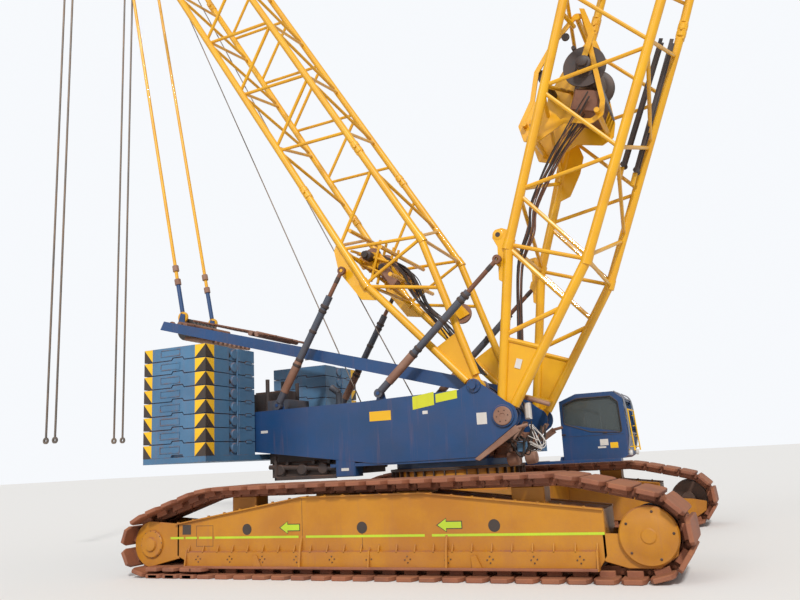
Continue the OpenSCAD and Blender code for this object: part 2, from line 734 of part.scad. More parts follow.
module boom_section(from, to) {
    steps = 2 * round((to - from - 1200) / (2 * boom_step));
    step = (to - from - 1200) / steps;
    color(yellow)
    boom_place() union() {
        chords(from + 2 * chord_r, to - 2 * chord_r, boom_w, boom_half_f, chord_r);
        lacing(from + 600, step, steps, boom_w, boom_half_f, lace_r, apart);
        joint_lugs(from + fit, 1, boom_w, boom_half_f, chord_r);
        joint_lugs(to, -1, boom_w, boom_half_f, chord_r);
    }
}

module boom_head() {
    color(yellow)
    boom_place() union() {
        chords(boom_head_s + 2 * chord_r, boom_l - 900, boom_w, boom_half_f, chord_r);
        lacing(boom_head_s + 600, 1350, 4, boom_w, boom_half_f, lace_r, apart);
        joint_lugs(boom_head_s + fit, 1, boom_w, boom_half_f, chord_r);
        for (y = [-boom_w / 2, -500, 500, boom_w / 2])
            plate_xz([[boom_l - 1300, -boom_half(boom_l - 1300) - 50], [boom_l - 250, head_n - 200],
                [boom_l + 150, head_n - 200], [boom_l + 300, head_n + 150], [boom_l + 300, 200],
                [boom_l - 200, 620], [boom_l - 1300, boom_half(boom_l - 1300) + 50]], y, 60);
        for (z = [-1, 1])
            tube([boom_l - 1000, -boom_w / 2, z * boom_half(boom_l - 1000)],
                [boom_l - 1000, boom_w / 2, z * boom_half(boom_l - 1000)], 110);
        disc_y(boom_l - 350, 0, 420, stay_pin_r, boom_w);
        disc_y(boom_l, 0, head_n, head_pin_r, boom_w);
    }
}
head_n = -650;
head_pin_r = 90;
sheave_r = 420;

module boom_sheaves() {
    color(dark)
    difference() {
        boom_place() for (i = [-2:2]) disc_y(boom_l, i * 160, head_n, sheave_r, 70);
        boom_place() disc_y(boom_l, 0, head_n, head_pin_r + fit, 3000);
    }
}

stop_eye_s = 3160;
stop_eye_n = 200;

winch_s = 8000;
winch_n = 450;
winch_shaft_r = 60;
frame_bar_xs = [5300, 8800];
frame_bar_drop = 180;

module boom_winch_frame() {
    color(ochre)
    boom_place() difference() {
        union() {
            for (s = [-1, 1])
                plate_xz([[4400, 300], [5200, 800], [8900, 960], [8600, 100], [7200, -100]], s * 700, 40);
            for (x = frame_bar_xs) {
                tube([x, -boom_w / 2, boom_half(x) - frame_bar_drop], [x, boom_w / 2, boom_half(x) - frame_bar_drop], 60);
                // Saddles under the rear chords
                for (s = [-1, 1])
                    translate([x - 80, s * boom_w / 2 - 75, boom_half(x) - frame_bar_drop - 70]) cube([160, 150, 190]);
            }
            disc_y(winch_s, 0, winch_n, winch_shaft_r, 1440);
        }
        for (x = frame_bar_xs) chord_pieces(x - 200, x + 200, chord_r + fit);
    }
}
// Lengths of the two rear chords
module chord_pieces(from, to, r) {
    for (y = [-boom_w / 2, boom_w / 2]) tube([from, y, boom_half(from)], [to, y, boom_half(to)], r);
}

module boom_winch() {
    color(dark)
    boom_place() difference() {
        union() {
            disc_y(winch_s, 0, winch_n, 260, 1340);
            for (s = [-1, 1]) disc_y(winch_s, s * 640, winch_n, 480, 40);
        }
        disc_y(winch_s, 0, winch_n, winch_shaft_r + fit, 1400);
    }
}

// Mast
module mast_foot() {
    color(yellow)
    difference() {
        mast_place() union() {
            for (s = [-1, 1]) {
                foot_leg(s * mast_w / 2, 160, mast_half_f, mast_knee_s, mast_chord_r, 160, 1250);
                tube([mast_knee_s - apart, s * mast_w / 2, mast_half(mast_knee_s)],
                    [2300, s * mast_w / 2, -mast_half(2300)], mast_lace_r, lace_fn);
                // Plate of the mast stop under the rear chord
                plate_xz([[2950, mast_half(2950)], [3300, mast_d + 280], [4250, mast_d + 380], [4750, mast_d + 200],
                    [4900, mast_d]], s * mast_w / 2, web_t);
                disc_y(mast_stop_eye_s, s * (mast_w / 2 + stop_y + 40) / 2, mast_stop_eye_n, stop_pin_r,
                    stop_y + 40 - mast_w / 2);
            }
            chords(mast_knee_s + knee_gap, mast_foot_l - 2 * mast_chord_r, mast_w, mast_half_f, mast_chord_r);
            knee_collars(mast_knee_s, mast_w, mast_half_f, mast_chord_r);
            strut_ring(mast_knee_s, mast_w, mast_half_f, mast_lace_r);
            lacing(mast_knee_s, 1150, 2, mast_w, mast_half_f, mast_lace_r, 60);
            joint_lugs(mast_foot_l, -1, mast_w, mast_half_f, mast_chord_r);
        }
        disc_y(mast_x, 0, mast_z, mast_pin_r + fit, 4000);
    }
}

module mast_insert() {
    color(yellow)
    mast_place() union() {
        chords(mast_foot_l + 2 * mast_chord_r, mast_head_s - 2 * mast_chord_r, mast_w, mast_half_f,
            mast_chord_r);
        lacing(mast_foot_l + 500, (mast_head_s - mast_foot_l - 1000) / 8, 8, mast_w, mast_half_f, mast_lace_r, 60);
        joint_lugs(mast_foot_l + fit, 1, mast_w, mast_half_f, mast_chord_r);
        joint_lugs(mast_head_s, -1, mast_w, mast_half_f, mast_chord_r);
    }
}

strand_n = 900;
strand_pin_r = 50;
module mast_head() {
    color(yellow)
    mast_place() union() {
        chords(mast_head_s + 2 * mast_chord_r, mast_l - 500, mast_w, mast_half_f, mast_chord_r);
        lacing(mast_head_s + 500, 1350, 3, mast_w, mast_half_f, mast_lace_r, 60);
        for (s = [-1, 1])
            tube([mast_head_s + 500 + 3 * 1350 + 60, s * mast_w / 2, mast_half(mast_head_s + 500 + 3 * 1350)],
                [mast_l - 800, s * mast_w / 2, -mast_half(mast_l - 800)], mast_lace_r, lace_fn);
        strut_ring(mast_head_s + 500 + 3 * 1350, mast_w, mast_half_f, mast_lace_r);
        joint_lugs(mast_head_s + fit, 1, mast_w, mast_half_f, mast_chord_r);
        for (y = [-mast_w / 2, -480, 480, mast_w / 2])
            plate_xz([[mast_l - 900, -mast_half(mast_l - 900) - 40], [mast_l + 200, -300], [mast_l + 250, 200],
                [mast_l + 100, strand_n + 100], [mast_l - 150, strand_n + 100],
                [mast_l - 900, mast_half(mast_l - 900) + 40]], y, 50);
        for (z = [-1, 1])
            tube([mast_l - 700, -mast_w / 2, z * mast_half(mast_l - 700)],
                [mast_l - 700, mast_w / 2, z * mast_half(mast_l - 700)], 90);
        disc_y(mast_l, 0, 0, head_pin_r, mast_w);
        disc_y(mast_l, 0, strand_n, strand_pin_r, mast_w);
    }
}

module mast_sheaves() {
    color(dark)
    difference() {
        mast_place() for (i = [-2:2]) disc_y(mast_l, i * 150, 0, 350, 60);
        mast_place() disc_y(mast_l, 0, 0, head_pin_r + fit, 3000);
    }
}

// Backstays from the tip of the A-frame to the mast head
mast_top = [mast_x - mast_l * cos(mast_angle), mast_z + mast_l * sin(mast_angle)];
pendant_at = a_pivot + [(a_len - pendant_s) * cos(a_angle) + pendant_n * sin(a_angle),
    (a_len - pendant_s) * sin(a_angle) - pendant_n * cos(a_angle)];

// Bar with an eye at each end
module bar_with_eyes(a, b, y, r, eye_r, eye_w, bore_a, bore_b) {
    d = (b - a) / norm(b - a);
    p = a + eye_r * 0.8 * d;
    q = b - eye_r * 0.8 * d;
    difference() {
        union() {
            tube([p[0], y, p[1]], [q[0], y, q[1]], r);
            disc_y(a[0], y, a[1], eye_r, eye_w);
            disc_y(b[0], y, b[1], eye_r, eye_w);
        }
        disc_y(a[0], y, a[1], bore_a, eye_w + 2 * r);
        disc_y(b[0], y, b[1], bore_b, eye_w + 2 * r);
    }
}

module backstays() {
    color(yellow)
    for (s = [-1, 1])
        bar_with_eyes(pendant_at, mast_top, s * pendant_y, 45, 150, pendant_w, 40, head_pin_r + fit);
}

// Pairs of straps that hang from the mast head
strand_y = 1270;
strand_bore_r = 40;
strand_x = mast_top[0] - strand_n * sin(mast_angle);
strand_top = mast_top[1] - strand_n * cos(mast_angle);
module superlift_strands() {
    color(rust)
    for (s = [-1, 1]) difference() {
        union() {
            for (dx = [-170, 170]) {
                tube([strand_x + dx, s * strand_y, 3060], [strand_x + dx, s * strand_y, strand_top - 330], 30);
                disc_y(strand_x + dx, s * strand_y, 2990, 90, 50);
            }
            plate_xz([[strand_x - 250, strand_top - 400], [strand_x + 250, strand_top - 400],
                [strand_x + 120, strand_top + 90], [strand_x - 120, strand_top + 90]], s * strand_y, 50);
        }
        disc_y(strand_x, s * strand_y, strand_top, strand_pin_r + fit, 100);
        for (dx = [-170, 170]) disc_y(strand_x + dx, s * strand_y, 2990, strand_bore_r, 100);
    }
}

// Telescopic stops: barrel on the superstructure and rod up to its eye
stop_rod_r = 52;
stop_y = fork_out - 35;
boom_stop_y = boom_w / 2 + chord_r + side_gap + stop_rod_r + 3;
// The boom's pin ends just short of the rod, whose eye may shift a little beside it
stop_pin_end = boom_stop_y - stop_rod_r - side_gap / 2;
boom_stop_base = [-1150, side_top + 190];
function on_boom(s, n) = [boom_x, boom_z] + [s * cos(boom_angle) - n * sin(boom_angle),
    s * sin(boom_angle) + n * cos(boom_angle)];
boom_stop_eye = on_boom(stop_eye_s, boom_half(stop_eye_s) + stop_eye_n);
mast_stop_base = [-3840, side_top + 130];
stop_r = 85;
stop_pin_r = 40;
mast_stop_eye_s = 4120;
mast_stop_eye_n = 1100;
mast_stop_eye = [mast_x - mast_stop_eye_s * cos(mast_angle) - mast_stop_eye_n * sin(mast_angle),
    mast_z + mast_stop_eye_s * sin(mast_angle) - mast_stop_eye_n * cos(mast_angle)];

function along(a, b, t) = a + t * (b - a) / norm(b - a);
function at_y(p, y) = [p[0], y, p[1]];

module stop_barrels(base, eye, length, y) {
    color(dark)
    for (s = [-1, 1])
        difference() {
            union() {
                tube(at_y(along(base, eye, 80), s * y), at_y(along(base, eye, length), s * y), stop_r);
                disc_y(base[0], s * y, base[1], 100, 100);
            }
            tube(at_y(along(base, eye, 180), s * y), at_y(along(base, eye, length + 50), s * y), stop_rod_r + fit);
            disc_y(base[0], s * y, base[1], stop_pin_r + fit, 300);
        }
}

module stop_rods(base, eye, start, eye_bore_r, y) {
    color(rust)
    for (s = [-1, 1])
        difference() {
            union() {
                tube(at_y(along(base, eye, start), s * y), at_y(along(eye, base, 70), s * y), stop_rod_r);
                disc_y(eye[0], s * y, eye[1], 95, 90);
            }
            disc_y(eye[0], s * y, eye[1], eye_bore_r, 300);
        }
}

module boom_stop_barrels() stop_barrels(boom_stop_base, boom_stop_eye, 3000, boom_stop_y);
module boom_stop_rods() stop_rods(boom_stop_base, boom_stop_eye, 860, stop_pin_r, boom_stop_y);
module mast_stop_barrels() stop_barrels(mast_stop_base, mast_stop_eye, 2850, stop_y);
module mast_stop_rods() stop_rods(mast_stop_base, mast_stop_eye, 560, stop_pin_r + 14, stop_y);

// Stay bars from the boom head towards the mast head
boom_top = on_boom(boom_l - 350, 420);
stay_l = 21000;
stay_y = 900;
stay_pin_r = 80;
module boom_stays() {
    d = ([mast_top[0], mast_top[1]] - boom_top) / norm(mast_top - boom_top);
    color(yellow)
    for (s = [-1, 1])
        bar_with_eyes(boom_top, boom_top + d * stay_l, s * stay_y, 45, 140, 70, stay_pin_r + fit, 40);
}

// Hook block hanging from the boom head
head_at = on_boom(boom_l, head_n);
rope_r = 14;
hook_x = head_at[0] + sheave_r + rope_r + 2 * fit;
module hook_block() {
    color(dark)
    union() {
        for (i = [-1:1]) tube([hook_x, i * 160, head_at[1] - 2600], [hook_x, i * 160, head_at[1]], rope_r);
        block([hook_x - 350, -300, head_at[1] - 3600], [hook_x + 350, 300, head_at[1] - 2500]);
        tube([hook_x, 0, head_at[1] - 4000], [hook_x, 0, head_at[1] - 3500], 90);
    }
}

carbody();
crawler_frame(1);  // crawler_frame_left
crawler_frame(-1);  // crawler_frame_right
track(1);  // track_left
track(-1);  // track_right
running_gear(1);  // running_gear_left
running_gear(-1);  // running_gear_right
turntable();
engine();
counterweight_base();
counterweight(1);  // counterweight_left
counterweight(-1);  // counterweight_right
front_machinery();
cab_support();
cab_shell();
cab_glass();
cab_seat();
cab_door();
cab_door_glass();
winch_front();
winch_rear();
a_frame();
mast_foot();
mast_insert();
mast_head();
mast_sheaves();
backstays();
superlift_strands();
mast_stop_barrels();
mast_stop_rods();
boom_foot();
boom_section(foot_l, boom_mid_s);  // boom_insert_lower
boom_section(boom_mid_s, boom_head_s);  // boom_insert_upper
boom_head();
boom_sheaves();
boom_winch_frame();
boom_winch();
boom_stop_barrels();
boom_stop_rods();
boom_stays();
hook_block();
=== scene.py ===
"""Looks of a crawler crane with a lattice boom and a lattice mast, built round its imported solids."""

import logging
import math
from dataclasses import dataclass
from enum import Enum
from typing import Callable, Iterable, Sequence

import bpy
import numpy as np
from mathutils import Matrix
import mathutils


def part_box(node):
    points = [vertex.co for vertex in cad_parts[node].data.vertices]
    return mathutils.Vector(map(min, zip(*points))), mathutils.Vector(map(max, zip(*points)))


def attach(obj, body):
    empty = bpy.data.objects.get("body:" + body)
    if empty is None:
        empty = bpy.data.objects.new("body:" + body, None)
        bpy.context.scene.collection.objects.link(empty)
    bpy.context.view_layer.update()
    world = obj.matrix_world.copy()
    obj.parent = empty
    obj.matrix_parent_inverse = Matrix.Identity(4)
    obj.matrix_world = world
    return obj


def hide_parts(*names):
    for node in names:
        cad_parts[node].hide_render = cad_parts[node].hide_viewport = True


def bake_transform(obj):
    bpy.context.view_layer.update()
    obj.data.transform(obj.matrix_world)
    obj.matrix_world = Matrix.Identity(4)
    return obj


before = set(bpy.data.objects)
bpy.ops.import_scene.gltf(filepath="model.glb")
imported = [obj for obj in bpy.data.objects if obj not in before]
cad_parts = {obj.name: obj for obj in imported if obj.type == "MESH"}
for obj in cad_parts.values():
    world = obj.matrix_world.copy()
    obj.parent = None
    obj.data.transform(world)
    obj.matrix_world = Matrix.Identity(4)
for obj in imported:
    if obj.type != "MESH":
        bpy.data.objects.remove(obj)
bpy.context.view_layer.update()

Array = np.ndarray
Pair = tuple[float, float]
Triple = tuple[float, float, float]
Vector = Sequence[float]
Outline = Sequence[Vector]
Socket = bpy.types.NodeSocket
Tree = bpy.types.NodeTree
LOG = logging.getLogger("crane")
UP = np.array((0.0, 0.0, 1.0))
ACROSS = np.array((0.0, 1.0, 0.0))
SIDES = {"left": 1.0, "right": -1.0}
CORNER_STEPS = 4


# Surfaces worked out as whole arrays


@dataclass(frozen=True)
class Surface:
    """Corner points and faces of one or more closed skins.

    Attributes:
        points: (n, 3) places in metres.
        corners: Flat list of point numbers, face after face.
        sizes: Number of corners of each face.
    """

    points: Array
    corners: Array
    sizes: Array

    def moved(self, matrix: Array) -> "Surface":
        """Returns the skin with each point p taken to matrix times p."""
        return Surface(self.points @ matrix[:3, :3].T + matrix[:3, 3], self.corners, self.sizes)

    def copies(self, matrices: Array) -> "Surface":
        """Repeats the skin.

        Args:
            matrices: (k, 4, 4) places of the copies.

        Returns:
            One skin with point i of copy k at matrix k times point i.
        """
        count = len(self.points)
        points = np.einsum("kij,nj->kni", matrices[:, :3, :3], self.points) + matrices[:, None, :3, 3]
        offsets = np.arange(len(matrices))[:, None] * count
        return Surface(
            points.reshape(-1, 3),
            (self.corners[None, :] + offsets).ravel(),
            np.tile(self.sizes, len(matrices)),
        )


def joined(parts: Iterable[Surface]) -> Surface:
    """Puts skins together, their points one after another.

    Args:
        parts: The skins.

    Returns:
        One skin.
    """
    parts = list(parts)
    starts = np.cumsum([0] + [len(p.points) for p in parts[:-1]])
    return Surface(
        np.concatenate([p.points for p in parts]),
        np.concatenate([p.corners + s for p, s in zip(parts, starts)]),
        np.concatenate([p.sizes for p in parts]),
    )


def loft(rings: Array, capped: bool = True, closed: bool = False) -> Surface:
    """Joins rings of points: quads lie between point j and j + 1 of ring i and ring i + 1.

    Args:
        rings: (rows, around, 3) points, each ring run anticlockwise seen against the run of the rows.
        capped: A face closes the first and the last ring.
        closed: The last ring joins the first one.

    Returns:
        The closed skin.
    """
    rows, around = rings.shape[:2]
    i = np.arange(rows if closed else rows - 1)[:, None]
    j = np.arange(around)[None, :]
    a, b = i * around + j, i * around + (j + 1) % around
    c, d = ((i + 1) % rows) * around + (j + 1) % around, ((i + 1) % rows) * around + j
    quads = np.stack([a, b, c, d], axis=-1).reshape(-1, 4)
    corners, sizes = [quads.ravel()], [np.full(len(quads), 4)]
    if capped and not closed:
        corners += [np.arange(around)[::-1], (rows - 1) * around + np.arange(around)]
        sizes += [np.array([around, around])]
    return Surface(rings.reshape(-1, 3), np.concatenate(corners), np.concatenate(sizes))


def frames_along(path: Array, side: Array) -> tuple[Array, Array, Array]:
    """Axes along a path: t follows the path, u is side made square to t, and v is t cross u.

    Args:
        path: (n, 3) points.
        side: A direction that the path never runs along.

    Returns:
        The three (n, 3) arrays t, u and v.
    """
    t = np.gradient(path, axis=0)
    t /= np.linalg.norm(t, axis=1, keepdims=True)
    u = side - (t @ side)[:, None] * t
    u /= np.linalg.norm(u, axis=1, keepdims=True)
    return t, u, np.cross(t, u)


def sweep(path: Array, section: Array, side: Array, scale: Array | None = None,
          closed: bool = False) -> Surface:
    """Carries a section along a path: P(i, j) = path_i + scale_i (x_j u_i + y_j v_i).

    Args:
        path: (n, 3) points.
        section: (m, 2) outline, anticlockwise.
        side: Direction of the section's x.
        scale: Size of the section at each point, 1 where left out.
        closed: The path is a loop.

    Returns:
        The closed skin.
    """
    path = np.asarray(path, float)
    _, u, v = frames_along(path, np.asarray(side, float))
    size = np.ones(len(path)) if scale is None else np.asarray(scale, float)
    x, y = section[:, 0][None, :, None], section[:, 1][None, :, None]
    rings = path[:, None] + size[:, None, None] * (x * u[:, None] + y * v[:, None])
    return loft(rings, capped=not closed, closed=closed)


def circle(radius: float, sides: int, turn: float = 0.0) -> Array:
    """Returns the (sides, 2) points radius (cos a, sin a) at equal steps of a, from turn."""
    a = turn + np.arange(sides) * 2 * math.pi / sides
    return radius * np.stack([np.cos(a), np.sin(a)], axis=1)


def any_side(direction: Array) -> Array:
    """Returns the axis, across or up, that lies further from a direction."""
    return UP if abs(direction[1]) > 0.7 * np.linalg.norm(direction) else ACROSS


def bar(a: Vector, b: Vector, radius: float, sides: int = 16) -> Surface:
    """Returns a round bar of one radius from a to b."""
    ends = np.array([a, b], float)
    return sweep(ends, circle(radius, sides), any_side(ends[1] - ends[0]))


def hose(path: Array, radius: float, sides: int = 8) -> Surface:
    """Returns a round hose whose centre line is the path."""
    path = np.asarray(path, float)
    return sweep(path, circle(radius, sides), any_side(path[-1] - path[0]))


def spline(points: Array, steps: int) -> Array:
    """A smooth line through points: on each stretch the cubic whose slopes are half the chord beside it.

    Args:
        points: (n, 3) points to pass through.
        steps: Samples on each stretch.

    Returns:
        (m, 3) points of the line.
    """
    p = np.asarray(points, float)
    p = np.concatenate([2 * p[:1] - p[1:2], p, 2 * p[-1:] - p[-2:-1]])
    t = (np.arange(steps) / steps)[None, :, None]
    a, b, c, d = (p[k: len(p) - 3 + k, None] for k in range(4))
    curve = 0.5 * (2 * b + (c - a) * t + (2 * a - 5 * b + 4 * c - d) * t**2 + (3 * b - a - 3 * c + d) * t**3)
    return np.concatenate([curve.reshape(-1, 3), p[-2:-1]])


def lathe(profile: Outline, centre: Vector, axis: Vector, sides: int, hollow: bool = False) -> Surface:
    """Turns a profile round an axis: P(i, j) = centre + h_i axis + r_i (cos a_j u + sin a_j v).

    Args:
        profile: (n, 2) pairs of radius and height along the axis, upwards along the outside.
        centre: A point of the axis, where the height is 0.
        axis: Direction of the axis.
        sides: Steps round the axis.
        hollow: The profile is a loop, which goes up outside and comes back inside.

    Returns:
        The closed skin.
    """
    profile = np.asarray(profile, float)
    w = np.asarray(axis, float) / np.linalg.norm(axis)
    u = np.cross(any_side(w), w)
    u /= np.linalg.norm(u)
    v = np.cross(w, u)
    spread = circle(1.0, sides)
    spokes = spread[:, :1] * u + spread[:, 1:] * v
    rings = np.asarray(centre, float) + profile[:, 1, None, None] * w + profile[:, 0, None, None] * spokes
    return loft(rings, closed=hollow)


def mirrored(half: Sequence[Pair]) -> list[Pair]:
    """Returns the lower half of a profile followed by its mirror image above height 0."""
    return [*half, *((radius, -height) for radius, height in reversed(half))]


def disc(centre: Vector, radius: float, width: float, sides: int, edge: float = 0.0) -> Surface:
    """Makes a round upright plate, its axis along Y, with its edges cut at 45 degrees.

    Args:
        centre: Middle of the plate.
        radius: Its radius.
        width: Its thickness.
        sides: Steps round the axis.
        edge: Width of the cut edges.

    Returns:
        The closed skin.
    """
    half, edge = width / 2, min(edge, width / 3)
    profile = mirrored([(radius - edge, -half), (radius, edge - half)] if edge else [(radius, -half)])
    return lathe(profile, centre, ACROSS, sides)


def rect(x0: float, z0: float, x1: float, z1: float) -> list[Pair]:
    """Returns the four corners of an upright rectangle."""
    return [(x0, z0), (x1, z0), (x1, z1), (x0, z1)]


def turning(outline: Outline) -> float:
    """Returns twice the area inside an outline, negative where it runs clockwise."""
    p = np.asarray(outline, float)
    return float(np.sum(p[:, 0] * np.roll(p[:, 1], -1) - np.roll(p[:, 0], -1) * p[:, 1]))


def inset(outline: Array, depth: float) -> Array:
    """Moves each side of an anticlockwise outline inwards: corner = corner + depth (m + n) / (1 + m.n).

    Args:
        outline: (n, 2) corners.
        depth: Distance between the old and the new sides.

    Returns:
        (n, 2) corners.
    """
    run = np.roll(outline, -1, axis=0) - outline
    run /= np.linalg.norm(run, axis=1, keepdims=True)
    n = np.stack([-run[:, 1], run[:, 0]], axis=1)
    m = np.roll(n, 1, axis=0)
    return outline + depth * (m + n) / (1 + np.sum(m * n, axis=1, keepdims=True))


def slab(outline: Outline, low: float, high: float, edge: float = 0.0) -> Surface:
    """Thickens an outline in X and Z along Y, with its edges cut at 45 degrees.

    Args:
        outline: (n, 2) corners in X and Z, anticlockwise seen from -Y.
        low: Lower Y of the plate.
        high: Upper Y of the plate.
        edge: Width of the cut edges.

    Returns:
        The closed skin.
    """
    line = np.asarray(outline, float)
    if turning(line) < 0:
        line = line[::-1]
    rows = [(low, 0.0), (high, 0.0)]
    if edge:
        rows = [(low, edge), (low + edge, 0.0), (high - edge, 0.0), (high, edge)]
    rings = []
    for y, depth in rows:
        ring = inset(line, depth) if depth else line
        rings.append(np.stack([ring[:, 0], np.full(len(ring), y), ring[:, 1]], axis=1))
    return loft(np.array(rings)[:, ::-1])


def box(low: Vector, high: Vector, edge: float = 0.004) -> Surface:
    """Makes a block with its edges cut.

    Args:
        low: Its lowest corner.
        high: Its highest corner.
        edge: Width of the cut edges.

    Returns:
        The closed skin.
    """
    (x0, y0, z0), (x1, y1, z1) = low, high
    edge = min(edge, (x1 - x0) / 3, (y1 - y0) / 3, (z1 - z0) / 3)
    return slab(rect(x0, z0, x1, z1), y0, y1, edge)


def moves(points: Outline) -> Array:
    """Makes the matrices of moves to points.

    Args:
        points: (k, 3) places.

    Returns:
        The (k, 4, 4) matrices.
    """
    places = np.tile(np.eye(4), (len(points), 1, 1))
    places[:, :3, 3] = points
    return places


def pose(origin: Vector, x_axis: Vector, y_axis: Vector) -> Array:
    """Makes the matrix of a frame.

    Args:
        origin: Where 0 goes.
        x_axis: Where X goes, of length 1.
        y_axis: Where Y goes, of length 1 and square to X.

    Returns:
        The (4, 4) matrix.
    """
    x, y = np.asarray(x_axis, float), np.asarray(y_axis, float)
    matrix = np.eye(4)
    matrix[:3, 0], matrix[:3, 1], matrix[:3, 2], matrix[:3, 3] = x, y, np.cross(x, y), origin
    return matrix


def leaning(origin: Vector, degrees: float) -> Array:
    """Returns the matrix of a frame whose X rises by an angle in the X-Z plane and whose Y stays."""
    a = math.radians(degrees)
    return pose(origin, (math.cos(a), 0, math.sin(a)), (0, 1, 0))


# Finishes


class Effect(Enum):
    """Shader node groups that several finishes share."""

    EDGE = "edge wear"
    DUST = "settled dust"
    GRAIN = "grain"
    STREAK = "streaks"


class Nodes:
    """A node tree that is written as chained calls."""

    def __init__(self, tree: Tree) -> None:
        """Keeps the tree.

        Args:
            tree: The tree that the nodes go into.
        """
        self.tree = tree

    def add(self, kind: str, inputs: dict | None = None, **options: object) -> bpy.types.Node:
        """Adds a node.

        Args:
            kind: Its type.
            inputs: Value or output socket of each input, by name or number.
            options: Properties of the node.

        Returns:
            The node.
        """
        node = self.tree.nodes.new(kind)
        for key, value in options.items():
            setattr(node, key, value)
        for key, value in (inputs or {}).items():
            if isinstance(value, Socket):
                self.tree.links.new(value, node.inputs[key])
            else:
                node.inputs[key].default_value = value
        return node

    def math(self, operation: str, *values: object) -> Socket:
        """Returns the output of a math node."""
        return self.add("ShaderNodeMath", dict(enumerate(values)), operation=operation).outputs[0]

    def ramp(self, value: object, low: float, high: float) -> Socket:
        """Returns 0 where value is at most low and 1 from high on, with a smooth step between."""
        inputs = {"Value": value, "From Min": low, "From Max": high}
        return self.add("ShaderNodeMapRange", inputs, interpolation_type="SMOOTHSTEP").outputs[0]

    def mix(self, share: object, a: object, b: object) -> Socket:
        """Mixes two colours.

        Args:
            share: 0 for colour a, 1 for colour b.
            a: Colour or socket.
            b: Colour or socket.

        Returns:
            The output socket.
        """
        node = self.add("ShaderNodeMix", data_type="RGBA")
        for key, value in ((0, share), (6, a), (7, b)):
            if isinstance(value, Socket):
                self.tree.links.new(value, node.inputs[key])
            else:
                node.inputs[key].default_value = value if key == 0 else (*value[:3], 1.0)
        return node.outputs[2]

    def noise(self, scale: object, detail: float, stretch: Vector = (1, 1, 1)) -> Socket:
        """Adds noise between 0 and 1 on Object coordinates.

        Args:
            scale: Clumps in a metre.
            detail: Finer layers.
            stretch: Factors on X, Y and Z before the noise.

        Returns:
            The output socket.
        """
        place_of = self.add("ShaderNodeTexCoord").outputs["Object"]
        mapped = self.add("ShaderNodeMapping", {"Vector": place_of, "Scale": stretch}).outputs[0]
        return self.add("ShaderNodeTexNoise", {
            "Vector": mapped, "Scale": scale, "Detail": detail, "Roughness": 0.6}).outputs["Fac"]


